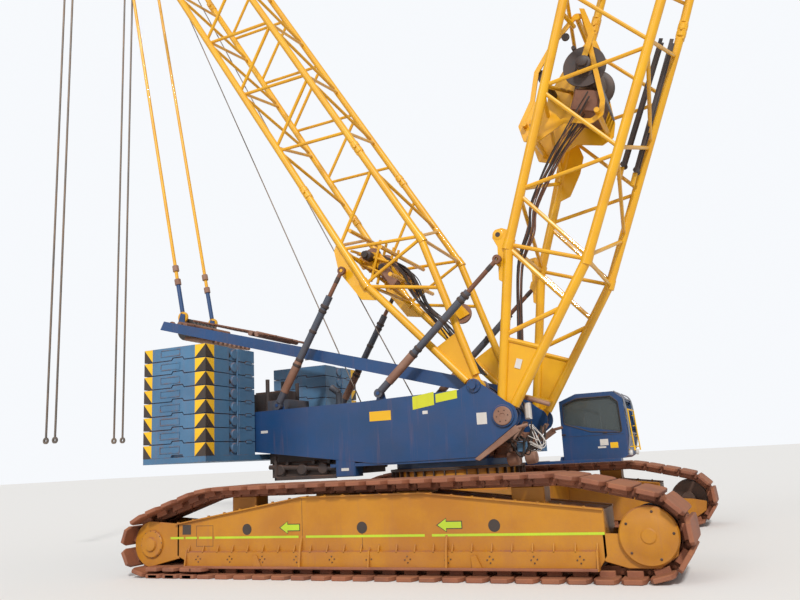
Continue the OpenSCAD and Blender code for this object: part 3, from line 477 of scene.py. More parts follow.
class Effects:
    """The node groups, each built once."""

    def __init__(self) -> None:
        """Starts with no group."""
        self.made: dict[Effect, Tree] = {}

    def group(self, effect: Effect) -> Tree:
        """Gives a group, and builds it the first time.

        Args:
            effect: Which one.

        Returns:
            Its node tree.
        """
        if effect not in self.made:
            build: dict[Effect, Callable[[], Tree]] = {
                Effect.EDGE: self._edge, Effect.DUST: self._dust,
                Effect.GRAIN: self._grain, Effect.STREAK: self._streak,
            }
            self.made[effect] = build[effect]()
        return self.made[effect]

    @staticmethod
    def _start(effect: Effect, inputs: dict[str, float],
               outputs: Sequence[str]) -> tuple[Nodes, dict, bpy.types.Node]:
        """Makes an empty group.

        Args:
            effect: Its name.
            inputs: Names and defaults of its number inputs.
            outputs: Names of its number outputs.

        Returns:
            The tree, its input sockets by name and its output node.
        """
        tree = bpy.data.node_groups.new(effect.value, "ShaderNodeTree")
        for name, value in inputs.items():
            socket = tree.interface.new_socket(name, in_out="INPUT", socket_type="NodeSocketFloat")
            socket.default_value = value
        for name in outputs:
            tree.interface.new_socket(name, in_out="OUTPUT", socket_type="NodeSocketFloat")
        nodes = Nodes(tree)
        source = nodes.add("NodeGroupInput")
        return nodes, {name: source.outputs[name] for name in inputs}, nodes.add("NodeGroupOutput")

    def _edge(self) -> Tree:
        """Builds the wear on edges: 1 - n.b, with b the normal rounded over a radius, broken up by noise.

        Returns:
            The node tree.
        """
        inputs = {"Radius": 0.02, "Amount": 1.0, "Scale": 6.0}
        nodes, given, out = self._start(Effect.EDGE, inputs, ["Mask"])
        rounded = nodes.add("ShaderNodeBevel", {"Radius": given["Radius"]}, samples=4).outputs[0]
        flat = nodes.add("ShaderNodeNewGeometry").outputs["Normal"]
        dot = nodes.add("ShaderNodeVectorMath", {0: rounded, 1: flat},
                        operation="DOT_PRODUCT").outputs["Value"]
        edge = nodes.ramp(nodes.math("SUBTRACT", 1.0, dot), 0.01, 0.12)
        patches = nodes.ramp(nodes.noise(given["Scale"], 6.0), 0.42, 0.62)
        mask = nodes.math("MULTIPLY", nodes.math("MULTIPLY", edge, patches), given["Amount"])
        nodes.tree.links.new(mask, out.inputs["Mask"])
        return nodes.tree

    def _dust(self) -> Tree:
        """Builds dust: most on faces that look up and near the ground, in clouds and specks.

        Returns:
            The node tree.
        """
        nodes, given, out = self._start(
            Effect.DUST, {"Top": 0.6, "Low": 0.5, "Height": 2.0, "All": 0.1, "Scale": 1.5}, ["Mask"])
        normal = nodes.add("ShaderNodeNewGeometry").outputs["Normal"]
        up = nodes.ramp(nodes.add("ShaderNodeSeparateXYZ", {0: normal}).outputs[2], 0.25, 0.9)
        place_of = nodes.add("ShaderNodeTexCoord").outputs["Object"]
        z = nodes.add("ShaderNodeSeparateXYZ", {0: place_of}).outputs[2]
        low = nodes.math("SUBTRACT", 1.0, nodes.ramp(nodes.math("DIVIDE", z, given["Height"]), 0.0, 1.0))
        clouds = nodes.ramp(nodes.noise(given["Scale"], 5.0), 0.3, 0.75)
        specks = nodes.ramp(nodes.noise(38.0, 3.0), 0.35, 0.8)
        amount = nodes.math("MULTIPLY_ADD", up, given["Top"], given["All"])
        amount = nodes.math("MULTIPLY_ADD", low, given["Low"], amount)
        spread = nodes.math("MULTIPLY_ADD", clouds, 0.75, nodes.math("MULTIPLY", specks, 0.45))
        mask = nodes.add("ShaderNodeClamp", {0: nodes.math("MULTIPLY", amount, spread)}).outputs[0]
        nodes.tree.links.new(mask, out.inputs["Mask"])
        return nodes.tree

    def _grain(self) -> Tree:
        """Builds the small relief of a surface and a slow change over it.

        Returns:
            The node tree.
        """
        nodes, given, out = self._start(Effect.GRAIN, {"Fine": 60.0, "Broad": 1.2}, ["Height", "Change"])
        lumps = nodes.noise(nodes.math("DIVIDE", given["Fine"], 9.0), 4.0)
        height = nodes.math("MULTIPLY_ADD", nodes.noise(given["Fine"], 3.0), 0.5,
                            nodes.math("MULTIPLY", lumps, 0.8))
        nodes.tree.links.new(height, out.inputs["Height"])
        nodes.tree.links.new(nodes.ramp(nodes.noise(given["Broad"], 6.0), 0.3, 0.7), out.inputs["Change"])
        return nodes.tree

    def _streak(self) -> Tree:
        """Builds dirt that ran down: noise drawn out along Z, on upright faces only.

        Returns:
            The node tree.
        """
        nodes, given, out = self._start(Effect.STREAK, {"Width": 9.0, "Amount": 0.5}, ["Mask"])
        normal = nodes.add("ShaderNodeNewGeometry").outputs["Normal"]
        lean = nodes.math("ABSOLUTE", nodes.add("ShaderNodeSeparateXYZ", {0: normal}).outputs[2])
        upright = nodes.math("SUBTRACT", 1.0, nodes.ramp(lean, 0.3, 0.8))
        lines = nodes.ramp(nodes.noise(given["Width"], 4.0, (1.0, 1.0, 0.06)), 0.55, 0.78)
        mask = nodes.math("MULTIPLY", nodes.math("MULTIPLY", lines, upright), given["Amount"])
        nodes.tree.links.new(mask, out.inputs["Mask"])
        return nodes.tree


EFFECTS = Effects()
RED_EARTH = (0.33, 0.125, 0.055)
PRIMER = (0.20, 0.10, 0.06)


def started(name: str) -> tuple[bpy.types.Material, Nodes, bpy.types.Node]:
    """Makes a material with nodes.

    Args:
        name: Its name.

    Returns:
        The material, its node tree and its shader.
    """
    material = bpy.data.materials.new(name)
    material.use_nodes = True
    return material, Nodes(material.node_tree), material.node_tree.nodes["Principled BSDF"]


@dataclass(frozen=True)
class Finish:
    """A painted, rusty or bare surface with worn edges, dust, streaks and grain.

    Attributes:
        name: Name of the material.
        colour: Clean colour.
        aged: Colour of its faded or stained patches.
        worn: Colour under the paint at worn edges.
        metallic: 1 for bare metal.
        rough: Roughness where it is clean.
        dull: Roughness where it is dusty.
        wear: How much of the edges is worn.
        edge_radius: Width of the worn edges.
        dust: Colour of the dust.
        top: Dust on faces that look up.
        low: Dust near the ground.
        height: Height at which the dust near the ground ends.
        film: Dust all over.
        streak: Dirt that ran down.
        relief: Depth of the grain in metres.
        fine: Scale of the grain.
        coat: Weight of a clear coat.
    """

    name: str
    colour: Triple
    aged: Triple
    worn: Triple = PRIMER
    metallic: float = 0.0
    rough: float = 0.45
    dull: float = 0.85
    wear: float = 0.0
    edge_radius: float = 0.012
    dust: Triple = RED_EARTH
    top: float = 0.3
    low: float = 0.0
    height: float = 2.2
    film: float = 0.06
    streak: float = 0.1
    relief: float = 0.0006
    fine: float = 70.0
    coat: float = 0.0

    def material(self) -> bpy.types.Material:
        """Returns the material, and builds it the first time."""
        found = bpy.data.materials.get(self.name)
        if found:
            return found
        material, nodes, shader = started(self.name)
        shader.inputs["Metallic"].default_value = self.metallic
        shader.inputs["Coat Weight"].default_value = self.coat

        def effect(kind: Effect, **values: float) -> bpy.types.Node:
            """Places a group with this finish's values.

            Args:
                kind: The effect.
                values: Values of its inputs.

            Returns:
                The group's node.
            """
            node = nodes.add("ShaderNodeGroup", node_tree=EFFECTS.group(kind))
            for key, value in values.items():
                node.inputs[key].default_value = value
            return node

        grain = effect(Effect.GRAIN, Fine=self.fine)
        colour = nodes.mix(grain.outputs["Change"], self.colour, self.aged)
        if self.wear:
            edge = effect(Effect.EDGE, Radius=self.edge_radius, Amount=self.wear).outputs[0]
            colour = nodes.mix(edge, colour, self.worn)
        if self.streak:
            colour = nodes.mix(effect(Effect.STREAK, Amount=self.streak).outputs[0], colour, self.dust)
        dust = effect(Effect.DUST, Top=self.top, Low=self.low, Height=self.height, All=self.film).outputs[0]
        colour = nodes.mix(dust, colour, self.dust)
        rough = nodes.math("MULTIPLY_ADD", dust, self.dull - self.rough, self.rough)
        rough = nodes.math("MULTIPLY_ADD", grain.outputs["Change"], 0.08, rough)
        bump = nodes.add("ShaderNodeBump", {
            "Height": grain.outputs["Height"], "Distance": self.relief, "Strength": 1.0})
        for key, value in (("Base Color", colour), ("Roughness", rough), ("Normal", bump.outputs[0])):
            nodes.tree.links.new(value, shader.inputs[key])
        return material


@dataclass(frozen=True)
class Glass:
    """Tinted glass with a light film of dust.

    Attributes:
        name: Name of the material.
        colour: Tint.
        film: Roughness where dust lies.
    """

    name: str
    colour: Triple
    film: float = 0.25

    def material(self) -> bpy.types.Material:
        """Returns the material, and builds it the first time."""
        found = bpy.data.materials.get(self.name)
        if found:
            return found
        material, nodes, shader = started(self.name)
        shader.inputs["Base Color"].default_value = (*self.colour, 1.0)
        shader.inputs["Transmission Weight"].default_value = 0.6
        shader.inputs["IOR"].default_value = 1.45
        haze = nodes.ramp(nodes.noise(3.0, 5.0), 0.4, 0.8)
        nodes.tree.links.new(nodes.math("MULTIPLY_ADD", haze, self.film, 0.03), shader.inputs["Roughness"])
        return material


YELLOW = Finish("crane_yellow", (0.82, 0.42, 0.005), (0.74, 0.35, 0.005), rough=0.32, wear=0.5, top=0.10,
                film=0.03, streak=0.12, coat=0.2)
# Painted shade, in part: the carbody and crawler frames carry the boom's yellow paint; this colour is that
# yellow darkened partway towards the shade the frames lie in.
YELLOW_IN_PAINTED_SHADE = Finish("yellow_paint_in_painted_shade", (0.52, 0.215, 0.003), (0.42, 0.155, 0.003), rough=0.42, wear=0.8, top=0.9,
               low=0.42, height=1.6, film=0.12, streak=0.3)
BLUE = Finish("deck_blue", (0.006, 0.060, 0.185), (0.008, 0.052, 0.15), rough=0.34, wear=0.6, top=0.5,
              streak=0.16, coat=0.15)
PALE_BLUE = Finish("pale_blue_paint", (0.070, 0.185, 0.32), (0.052, 0.14, 0.25), wear=0.9,
                   edge_radius=0.02, top=0.7, streak=0.2)
TRACK = Finish("track_rust", (0.17, 0.060, 0.035), (0.31, 0.105, 0.050), worn=(0.30, 0.19, 0.14),
               rough=0.62, wear=0.7, top=1.25, low=0.35, height=2.0, film=0.25, relief=0.003, fine=40.0)
GREASE = Finish("grease_steel", (0.028, 0.024, 0.022), (0.065, 0.038, 0.026), worn=(0.25, 0.22, 0.2),
                metallic=0.3, wear=0.8, top=0.7, low=0.25, film=0.10, streak=0.0, relief=0.001)
DARK = Finish("machine_dark", (0.030, 0.031, 0.034), (0.055, 0.040, 0.034), rough=0.5, wear=0.5, top=0.5,
              low=0.1, film=0.12)
RUSTY = Finish("machine_rust", (0.20, 0.095, 0.060), (0.34, 0.20, 0.14), rough=0.6, wear=0.4, top=0.5,
               low=0.2, film=0.2, streak=0.2, relief=0.0015)
SLATE = Finish("slate_paint", (0.055, 0.075, 0.105), (0.075, 0.080, 0.095), rough=0.4, wear=0.6, film=0.08,
               streak=0.15)
ROD = Finish("brown_rod", (0.15, 0.062, 0.036), (0.23, 0.10, 0.055), metallic=0.25, rough=0.42, top=0.2,
             film=0.05, streak=0.2)
STEEL = Finish("rope_steel", (0.17, 0.155, 0.14), (0.26, 0.19, 0.14), metallic=0.7, top=0.2, streak=0.0,
               fine=160.0)
NYLON = Finish("sheave_dark", (0.025, 0.025, 0.028), (0.05, 0.045, 0.04), rough=0.4, top=0.2, film=0.08,
               streak=0.0)
FABRIC = Finish("seat_cloth", (0.022, 0.022, 0.026), (0.035, 0.033, 0.032), rough=0.9, top=0.15, film=0.02,
                streak=0.0, relief=0.0008, fine=420.0)
RUBBER = Finish("hose_rubber", (0.018, 0.018, 0.019), (0.035, 0.030, 0.027), rough=0.6, film=0.08,
                streak=0.0)
LIME = Finish("lime_paint", (0.48, 0.66, 0.02), (0.42, 0.58, 0.02), low=0.15, film=0.05)
LEMON = Finish("lemon_paint", (0.66, 0.68, 0.02), (0.58, 0.60, 0.02), low=0.15, height=1.6, film=0.1)
BLACK = Finish("black_paint", (0.030, 0.024, 0.020), (0.045, 0.034, 0.028), rough=0.5, streak=0.08)
WARNING = Finish("warning_yellow", (0.90, 0.52, 0.01), (0.84, 0.46, 0.01), rough=0.4, wear=0.3, film=0.03)
WHITE = Finish("plate_white", (0.72, 0.70, 0.66), (0.62, 0.58, 0.52), rough=0.5, top=0.2, streak=0.12)
GREY = Finish("frame_grey", (0.21, 0.23, 0.26), (0.17, 0.18, 0.20), rough=0.42, wear=0.3)
TINTED = Glass("cab_tinted", (0.16, 0.19, 0.19))

FINISHED_NODES: tuple[tuple[Finish | Glass, str], ...] = (
    # The yellow darkened as painted shade goes on the carbody and crawler frames.
    (YELLOW_IN_PAINTED_SHADE, "carbody crawler_frame_left crawler_frame_right"),
    (TRACK, "track_left track_right"),
    (GREASE, "running_gear_left running_gear_right"),
    (BLUE, "turntable a_frame cab_support cab_shell cab_door"),
    (DARK, "engine winch_front winch_rear boom_winch"),
    (RUSTY, "front_machinery"),
    (TINTED, "cab_glass cab_door_glass"),
    (FABRIC, "cab_seat"),
    (PALE_BLUE, "counterweight_base counterweight_left counterweight_right"),
    (YELLOW,
     "mast_foot mast_insert mast_head backstays boom_foot boom_insert_lower boom_insert_upper boom_head"),
    (YELLOW, "boom_winch_frame boom_stays hook_block"),
    (NYLON, "mast_sheaves boom_sheaves"),
    (STEEL, "superlift_strands"),
    (SLATE, "mast_stop_barrels boom_stop_barrels"),
    (ROD, "mast_stop_rods boom_stop_rods"),
)


def piece(name: str, skin: Surface, finish: Finish | Glass, body: str, smooth: float = 35.0,
          replaced: Sequence[str] = (), slot: str = "") -> bpy.types.Object:
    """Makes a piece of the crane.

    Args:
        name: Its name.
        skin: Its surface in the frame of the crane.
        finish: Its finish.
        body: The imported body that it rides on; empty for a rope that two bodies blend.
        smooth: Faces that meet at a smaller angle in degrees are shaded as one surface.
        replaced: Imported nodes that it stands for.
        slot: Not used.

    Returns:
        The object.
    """
    mesh = bpy.data.meshes.new(name)
    mesh.vertices.add(len(skin.points))
    mesh.vertices.foreach_set("co", skin.points.astype(np.float32).ravel())
    mesh.loops.add(len(skin.corners))
    mesh.loops.foreach_set("vertex_index", skin.corners.astype(np.int32))
    mesh.polygons.add(len(skin.sizes))
    starts = np.concatenate([[0], np.cumsum(skin.sizes)[:-1]])
    mesh.polygons.foreach_set("loop_start", starts.astype(np.int32))
    mesh.update(calc_edges=True)
    mesh.validate()
    mesh.shade_smooth()
    mesh.set_sharp_from_angle(angle=math.radians(smooth))
    made = bpy.data.objects.new(name, mesh)
    bpy.context.scene.collection.objects.link(made)
    made.data.materials.append(finish.material())
    if body:
        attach(made, body)
    if replaced:
        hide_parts(*replaced)
    LOG.info("%s: %d faces on %s", name, len(skin.sizes), body)
    return made


def dress_nodes() -> None:
    """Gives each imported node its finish."""
    for finish, names in FINISHED_NODES:
        for name in names.split():
            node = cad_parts[name]
            node.data.materials.clear()
            node.data.materials.append(finish.material())


# Outlines and plates


def rounded(outline: Outline, radius: float) -> Array:
    """Rounds corners: corner b with unit sides u, v gives an arc about b + (u + v)/|u + v| r/sin(half angle).

    Args:
        outline: (n, 2) corners in order.
        radius: Radius of the arcs, less than half of the shortest side.

    Returns:
        (n * (CORNER_STEPS + 1), 2) corners.
    """
    b = np.asarray(outline, float)
    u, v = np.roll(b, 1, axis=0) - b, np.roll(b, -1, axis=0) - b
    u /= np.linalg.norm(u, axis=1, keepdims=True)
    v /= np.linalg.norm(v, axis=1, keepdims=True)
    half = np.arccos(np.clip(np.sum(u * v, axis=1), -1, 1))[:, None] / 2
    middle = (u + v) / np.linalg.norm(u + v, axis=1, keepdims=True)
    o = b + middle * radius / np.sin(half)
    p, q = b + u * radius / np.tan(half) - o, b + v * radius / np.tan(half) - o
    start = np.arctan2(p[:, 1], p[:, 0])
    sweep_by = (np.arctan2(q[:, 1], q[:, 0]) - start + 3 * math.pi) % (2 * math.pi) - math.pi
    a = start[:, None] + sweep_by[:, None] * np.arange(CORNER_STEPS + 1) / CORNER_STEPS
    return (o[:, None] + radius * np.stack([np.cos(a), np.sin(a)], axis=-1)).reshape(-1, 2)


def flat(outline: Outline, low: float, high: float, edge: float) -> Surface:
    """Returns an outline in X and Y thickened along Z from low to high."""
    return slab(outline, -high, -low, edge).moved(pose((0, 0, 0), (1, 0, 0), (0, 0, -1)))


def cross_slab(outline: Outline, low: float, high: float, edge: float = 0.0) -> Surface:
    """Returns an outline in Y and Z thickened along X from low to high."""
    return slab(outline, -high, -low, edge).moved(pose((0, 0, 0), (0, 1, 0), (-1, 0, 0)))


def badge(outline: Outline, side: float, face: float, rise: float = 0.004) -> Surface:
    """Returns a thin plate on an upright wall.

    Args:
        outline: Corners in X and Z.
        side: 1 on the left of the crane, -1 on its right.
        face: Distance of the wall from the crane's middle.
        rise: Thickness.

    Returns:
        The plate.
    """
    low, high = sorted((side * face, side * (face + rise)))
    return slab(outline, low, high)


def rim(x0: float, z0: float, x1: float, z1: float, width: float) -> list[list[Pair]]:
    """Returns the outlines of the four strips of a rectangle's rim, which stay inside it."""
    return [rect(x0, z0, x1, z0 + width), rect(x0, z1 - width, x1, z1),
            rect(x0, z0 + width, x0 + width, z1 - width), rect(x1 - width, z0 + width, x1, z1 - width)]


def bolts(centre: Vector, ring: float, count: int, size: float, height: float, axis: Vector) -> Surface:
    """Puts hexagon heads on a circle: head k at centre + ring (cos 2 pi k / count u + sin 2 pi k / count v).

    Args:
        centre: Centre of the circle, on the face that the heads sit on.
        ring: Its radius.
        count: Number of heads.
        size: Radius of a head.
        height: Height of a head along the axis.
        axis: Direction that the heads point in.

    Returns:
        The heads.
    """
    head = lathe([(size, -0.2 * height), (size, 0.8 * height), (0.8 * size, height)], (0, 0, 0), axis, 6)
    w = np.asarray(axis, float) / np.linalg.norm(axis)
    u = np.cross(any_side(w), w)
    u /= np.linalg.norm(u)
    spokes = circle(ring, count, 0.1)
    places = np.asarray(centre, float) + spokes[:, :1] * u + spokes[:, 1:] * np.cross(w, u)
    return head.copies(moves(places))


# Undercarriage


@dataclass(frozen=True)
class Tracks:
    """Both tracks: shoes with cut corners, rail links, hinge lugs and pins.

    Attributes:
        wheels: X, Z and radius of the four wheels that the joint line runs round, rear one first.
        centre_y: Distance of a track from the crane's middle.
        count: Shoes of a track.
        width: Length of a shoe across the track.
        outer: Distance from the joint line to a shoe's face.
        sole: Distance from the joint line to a shoe's back.
        link: Depth of the links inside the joint line.
        cut: How much a shoe's corners lose along and across the track.
        steps: Directions in which the joint line is worked out.
    """

    wheels: tuple[Triple, ...] = (
        (-4.75, 0.60, 0.50), (4.64, 0.67, 0.57), (3.30, 0.74, 0.80), (-3.30, 0.74, 0.80))
    centre_y: float = 4.2
    count: int = 62
    width: float = 1.5
    outer: float = 0.10
    sole: float = 0.025
    link: float = 0.11
    cut: Pair = (0.055, 0.11)
    steps: int = 7200

    def joints(self) -> Array:
        """Spaces the joints evenly on the line whose point of outward normal n is max over wheels of c + r n.

        Returns:
            (count + 1, 2) places in X and Z, the last one on the first.
        """
        a = np.radians(-90 + 1e-4 + np.arange(self.steps) / (self.steps / 360))
        n = np.stack([np.cos(a), np.sin(a)], axis=1)
        wheels = np.array(self.wheels)
        best = wheels[np.argmax(n @ wheels[:, :2].T + wheels[:, 2], axis=1)]
        points = best[:, :2] + best[:, 2:] * n
        first = wheels[:1, :2] - (0, wheels[0, 2])
        points[:, 1] = np.maximum(points[:, 1], first[0, 1])
        points = np.concatenate([first, points, first])
        run = np.concatenate([[0], np.cumsum(np.linalg.norm(np.diff(points, axis=0), axis=1))])
        at = np.linspace(0, run[-1], self.count + 1)
        return np.stack([np.interp(at, run, points[:, k]) for k in (0, 1)], axis=1)

    def shoe(self, pitch: float) -> Surface:
        """Makes one shoe, with X along the track and Z outwards.

        Args:
            pitch: Distance between its two joints.

        Returns:
            The shoe with its links, lugs and pin.
        """
        half, across = 0.46 * pitch, self.width / 2
        c, d = self.cut
        plan = [(half - c, -across), (half, d - across), (half, across - d), (half - c, across),
                (c - half, across), (-half, across - d), (-half, d - across), (c - half, -across)]
        parts = [flat(plan, self.sole, self.outer, 0.012)]
        top = self.sole + 0.01
        parts += [box((-0.47 * pitch, y - 0.07, -self.link), (0.47 * pitch, y + 0.07, top), 0.01)
                  for y in (-0.2, 0.2)]
        parts += [disc(((0.5 if k % 2 else -0.5) * pitch, 0.12 * (k - 2), -0.03), 0.052, 0.112, 12)
                  for k in range(5)]
        parts += [bar((-0.5 * pitch, -0.33, -0.03), (-0.5 * pitch, 0.33, -0.03), 0.026, 10)]
        parts += [box((-0.3 * pitch, s * 0.3 - 0.03, -0.06), (0.3 * pitch, s * 0.3 + 0.03, top), 0.01)
                  for s in (-1.4, 1.4)]
        return joined(parts)

    def build(self) -> None:
        """Lays a shoe between each two joints of both tracks."""
        joints = self.joints()
        a, b = joints[:-1], joints[1:]
        along = (b - a) / np.linalg.norm(b - a, axis=1, keepdims=True)
        shoe = self.shoe(float(np.linalg.norm(b - a, axis=1).mean()))
        for side, s in SIDES.items():
            places = np.tile(np.eye(4), (self.count, 1, 1))
            places[:, 0, 0], places[:, 2, 0] = along.T
            places[:, :3, 1] = -ACROSS
            places[:, 0, 2], places[:, 2, 2] = along[:, 1], -along[:, 0]
            places[:, 0, 3], places[:, 2, 3] = (a + b).T / 2
            places[:, 1, 3] = s * self.centre_y
            piece(f"track_shoes_{side}", shoe.copies(places), TRACK, "undercarriage", 30,
                  [f"track_{side}"], "track_steel")


@dataclass(frozen=True)
class CrawlerFrame:
    """A side frame with its yoke, guard, covers and markings.

    Attributes:
        side: "left" or "right".
        centre_y: Distance of a frame from the crane's middle.
        half: Half the width of the box.
        plate: Thickness of a side plate.
        guard: How far the guard stands out.
        ledge: How far the guard's ledge stands out.
        idler: X and Z of the front wheel's axle.
        sprocket: X and Z of the rear wheel's axle.
        arrows: X of the tip and of the end of each arrow.
    """

    side: str
    centre_y: float = 4.2
    half: float = 0.43
    plate: float = 0.045
    guard: float = 0.06
    ledge: float = 0.13
    idler: Pair = (4.64, 0.67)
    sprocket: Pair = (-4.75, 0.60)
    arrows: tuple[Pair, ...] = ((-1.80, -1.40), (1.27, 1.69))

    @property
    def s(self) -> float:
        """1 on the left of the crane, -1 on its right."""
        return SIDES[self.side]

    @property
    def out(self) -> float:
        """Distance from the frame's middle to the outside of its plates."""
        return self.half + self.plate

    @property
    def face(self) -> float:
        """Distance from the crane's middle to the outside of the outer plates."""
        return self.centre_y + self.out

    def build(self) -> None:
        """Builds the frame, its bolts and its markings."""
        side = self.side
        # The frame body takes the yellow darkened as painted shade.
        piece(f"crawler_frame_body_{side}", self.body(), YELLOW_IN_PAINTED_SHADE, "undercarriage", 30,
              [f"crawler_frame_{side}"], "frame_ochre")
        low, high = sorted(self.s * (self.face + d) for d in (self.ledge - 0.06, self.ledge + 0.012))
        earth = box((-3.88, low, 0.165), (3.86, high, 0.208), 0.008)
        for name, skin, finish in (("bolts", self.heads(), GREASE), ("lime", self.stripes(), LIME),
                                   ("black", self.black(), BLACK), ("earth", earth, TRACK)):
            piece(f"crawler_frame_{name}_{side}", skin, finish, "undercarriage")

    def wall(self, d: float) -> float:
        """Returns the Y of a face that lies d outside the outer plates."""
        return self.s * self.centre_y + self.s * (self.out + d)

    def body(self) -> Surface:
        """Returns the frame, from the outlines of its box, plates, yoke and lower arm."""
        s, y = self.s, self.s * self.centre_y
        top = [(4.0, 1.06), (1.06, 1.39), (-1.34, 1.39), (-4.15, 0.96)]
        box_line = [(-4.15, 0.58), (4.0, 0.58), *top]
        plate_line = [(-3.7, 0.17), (3.85, 0.17), (4.0, 0.38), *top, (-4.15, 0.38)]
        a = np.radians(np.linspace(-100, -260, 25))
        yoke = np.concatenate([[(-4.10, 0.97), (-4.10, 0.33)],
                               np.stack([-4.75 + 0.44 * np.cos(a), 0.60 + 0.44 * np.sin(a)], axis=1)])
        arm = rounded([(3.95, 0.30), (4.3, 0.20), (4.75, 0.20), (5.02, 0.38), (5.06, 0.60), (4.75, 0.66),
                       (4.25, 0.70), (3.95, 0.71)], 0.03)
        parts = [slab(box_line, y - self.half - 0.001, y + self.half + 0.001, 0.0)]
        for side in (-1, 1):
            low, high = sorted((y + side * self.half, y + side * self.out))
            parts += [slab(line, low, high, 0.008) for line in (plate_line, yoke, arm)]
            path = np.array([(x, y + side * (self.out - 0.01), z + 0.006) for x, z in top[::-1]])
            path[0, 0] -= 0.02
            parts.append(sweep(path, np.array(rect(-0.06, -0.012, 0.06, 0.012)), ACROSS))
        face, shield, lip = (self.wall(d) for d in (0, self.guard, self.ledge))
        edge = [(face, 0.17), (lip, 0.17), (lip, 0.198), (shield, 0.205), (shield, 0.45), (face, 0.47)]
        parts.append(cross_slab(edge, -3.9, 3.88, 0.004))
        gusset = cross_slab([(face, 0.44), (shield, 0.44), (shield, 0.465), (self.wall(0.004), 0.575)],
                            -0.011, 0.011)
        parts.append(gusset.copies(moves([(x, 0, 0) for x in np.arange(-3.84, 3.9, 0.335)])))
        for at, stand, bend, top_z, thick in (((-1.36, 1.42), 0.02, 0.50, 0.72, 0.02),
                                              ((-3.88, 0.0, 3.86), 0.01, 0.47, 0.52, 0.015)):
            line = [(face, 0.17), (self.wall(self.ledge - 0.005), 0.20),
                    (self.wall(self.guard + stand), bend), (face, top_z)]
            parts.append(cross_slab(line, -thick, thick, 0.004).copies(moves([(x, 0, 0) for x in at])))
        for x in (-2.25, 1.95):
            low, high = sorted((shield, self.wall(self.guard + 0.035)))
            foot = rounded([(x - 0.09, 0.17), (x + 0.09, 0.17), (x - 0.02, 0.40), (x - 0.11, 0.40)], 0.03)
            parts.append(slab(foot, low, high, 0.004))
        parts += [box((x0, y - 0.2, 1.0), (x1, y + 0.2, 1.425), 0.01)
                  for x0, x1 in ((-3.05, -2.5), (-1.2, -0.5), (0.35, 1.05), (2.5, 3.05))]
        cover = [(0.44, -0.04), (0.44, 0.05), (0.42, 0.07), (0.30, 0.075), (0.28, 0.085), (0.12, 0.085),
                 (0.10, 0.10)]
        hub = [(0.26, -0.03), (0.26, 0.03), (0.24, 0.05), (0.14, 0.05), (0.12, 0.09), (0.04, 0.10)]
        parts += [lathe(profile, (x, y + s * self.out, z), (0, s, 0), sides)
                  for profile, (x, z), sides in ((cover, self.idler, 64), (hub, self.sprocket, 40))]
        tab = box((-0.02, -0.02, -0.01), (0.02, 0.02, 0.012), 0.003)
        edge = self.wall(0.03)
        places = [(x, edge, 0.987 + (x + 4.15) * 0.153) for x in np.arange(-4.1, -1.4, 0.36)]
        places += [(x, edge, 1.41) for x in np.arange(-1.2, 1.0, 0.36)]
        places += [(x, edge, 1.41 - (x - 1.06) * 0.112) for x in np.arange(1.2, 4.0, 0.36)]
        parts.append(tab.copies(moves(places)))
        return joined(parts)

    def heads(self) -> Surface:
        """Returns the bolts of the covers and of the rollers' axles."""
        s, y = self.s, self.s * self.face
        axis = (0, s, 0)
        (fx, fz), (rx, rz) = self.idler, self.sprocket
        parts = [bolts((fx, y + s * 0.07, fz), 0.36, 5, 0.022, 0.012, axis),
                 bolts((rx, y + s * 0.03, rz), 0.245, 12, 0.014, 0.016, axis)]
        parts += [bolts((x, y + s * self.guard, 0.33), 0.05, 4, 0.013, 0.014, axis)
                  for x in np.linspace(-3.6, 3.6, 11)]
        return joined(parts)

    def stripes(self) -> Surface:
        """Returns the lime stripe, in its lengths, and the lime arrows."""
        s, face = self.s, self.face
        spans = ((-4.31, -3.99), (-3.95, -3.68), (-3.63, -3.32), (-3.26, -1.42), (-1.27, 1.03),
                 (1.16, 3.99))
        parts = [badge(rect(a, 0.688, b, 0.728), s, face, 0.003) for a, b in spans]
        parts += [badge(self.arrow(tip, end), s, face, 0.006) for tip, end in self.arrows]
        return joined(parts)

    @staticmethod
    def arrow(tip: float, end: float, grow: float = 0.0) -> list[Pair]:
        """Draws an arrow.

        Args:
            tip: X of its tip.
            end: X of its end.
            grow: Width of a rim round it.

        Returns:
            Its corners in X and Z.
        """
        barb = tip + 0.15 + grow * 0.6
        return [(tip - 1.8 * grow, 0.87), (barb, 0.77 - grow), (barb, 0.82 - grow),
                (end + grow, 0.82 - grow), (end + grow, 0.92 + grow), (barb, 0.92 + grow),
                (barb, 0.97 + grow)]

    def black(self) -> Surface:
        """Returns the arrows' rims, the seams of a hatch, and black discs and a black square of painted shade
        where bores and an opening are.
        """
        s, face = self.s, self.face
        parts = [badge(self.arrow(tip, end, 0.014), s, face, 0.003) for tip, end in self.arrows]
        # Painted shade: black discs stand for the shade inside the bores.
        parts += [disc((x, s * face, 0.85), 0.10, 0.006, 32) for x in (-2.53, -0.14, 2.25)]
        parts += [badge(line, s, face, 0.002) for line in rim(-3.69, 0.55, -3.30, 0.93, 0.007)]
        # Painted shade: the black square at X -4.02 to -3.82 stands for the shade inside an opening; the two
        # thin lines are seams.
        parts += [badge(rect(*line), s, face, rise) for line, rise in (
            ((-4.02, 0.77, -3.82, 0.95), 0.004), ((-1.343, 0.72, -1.337, 1.36), 0.002),
            ((-0.143, 0.50, -0.137, 0.75), 0.002))]
        return joined(parts)


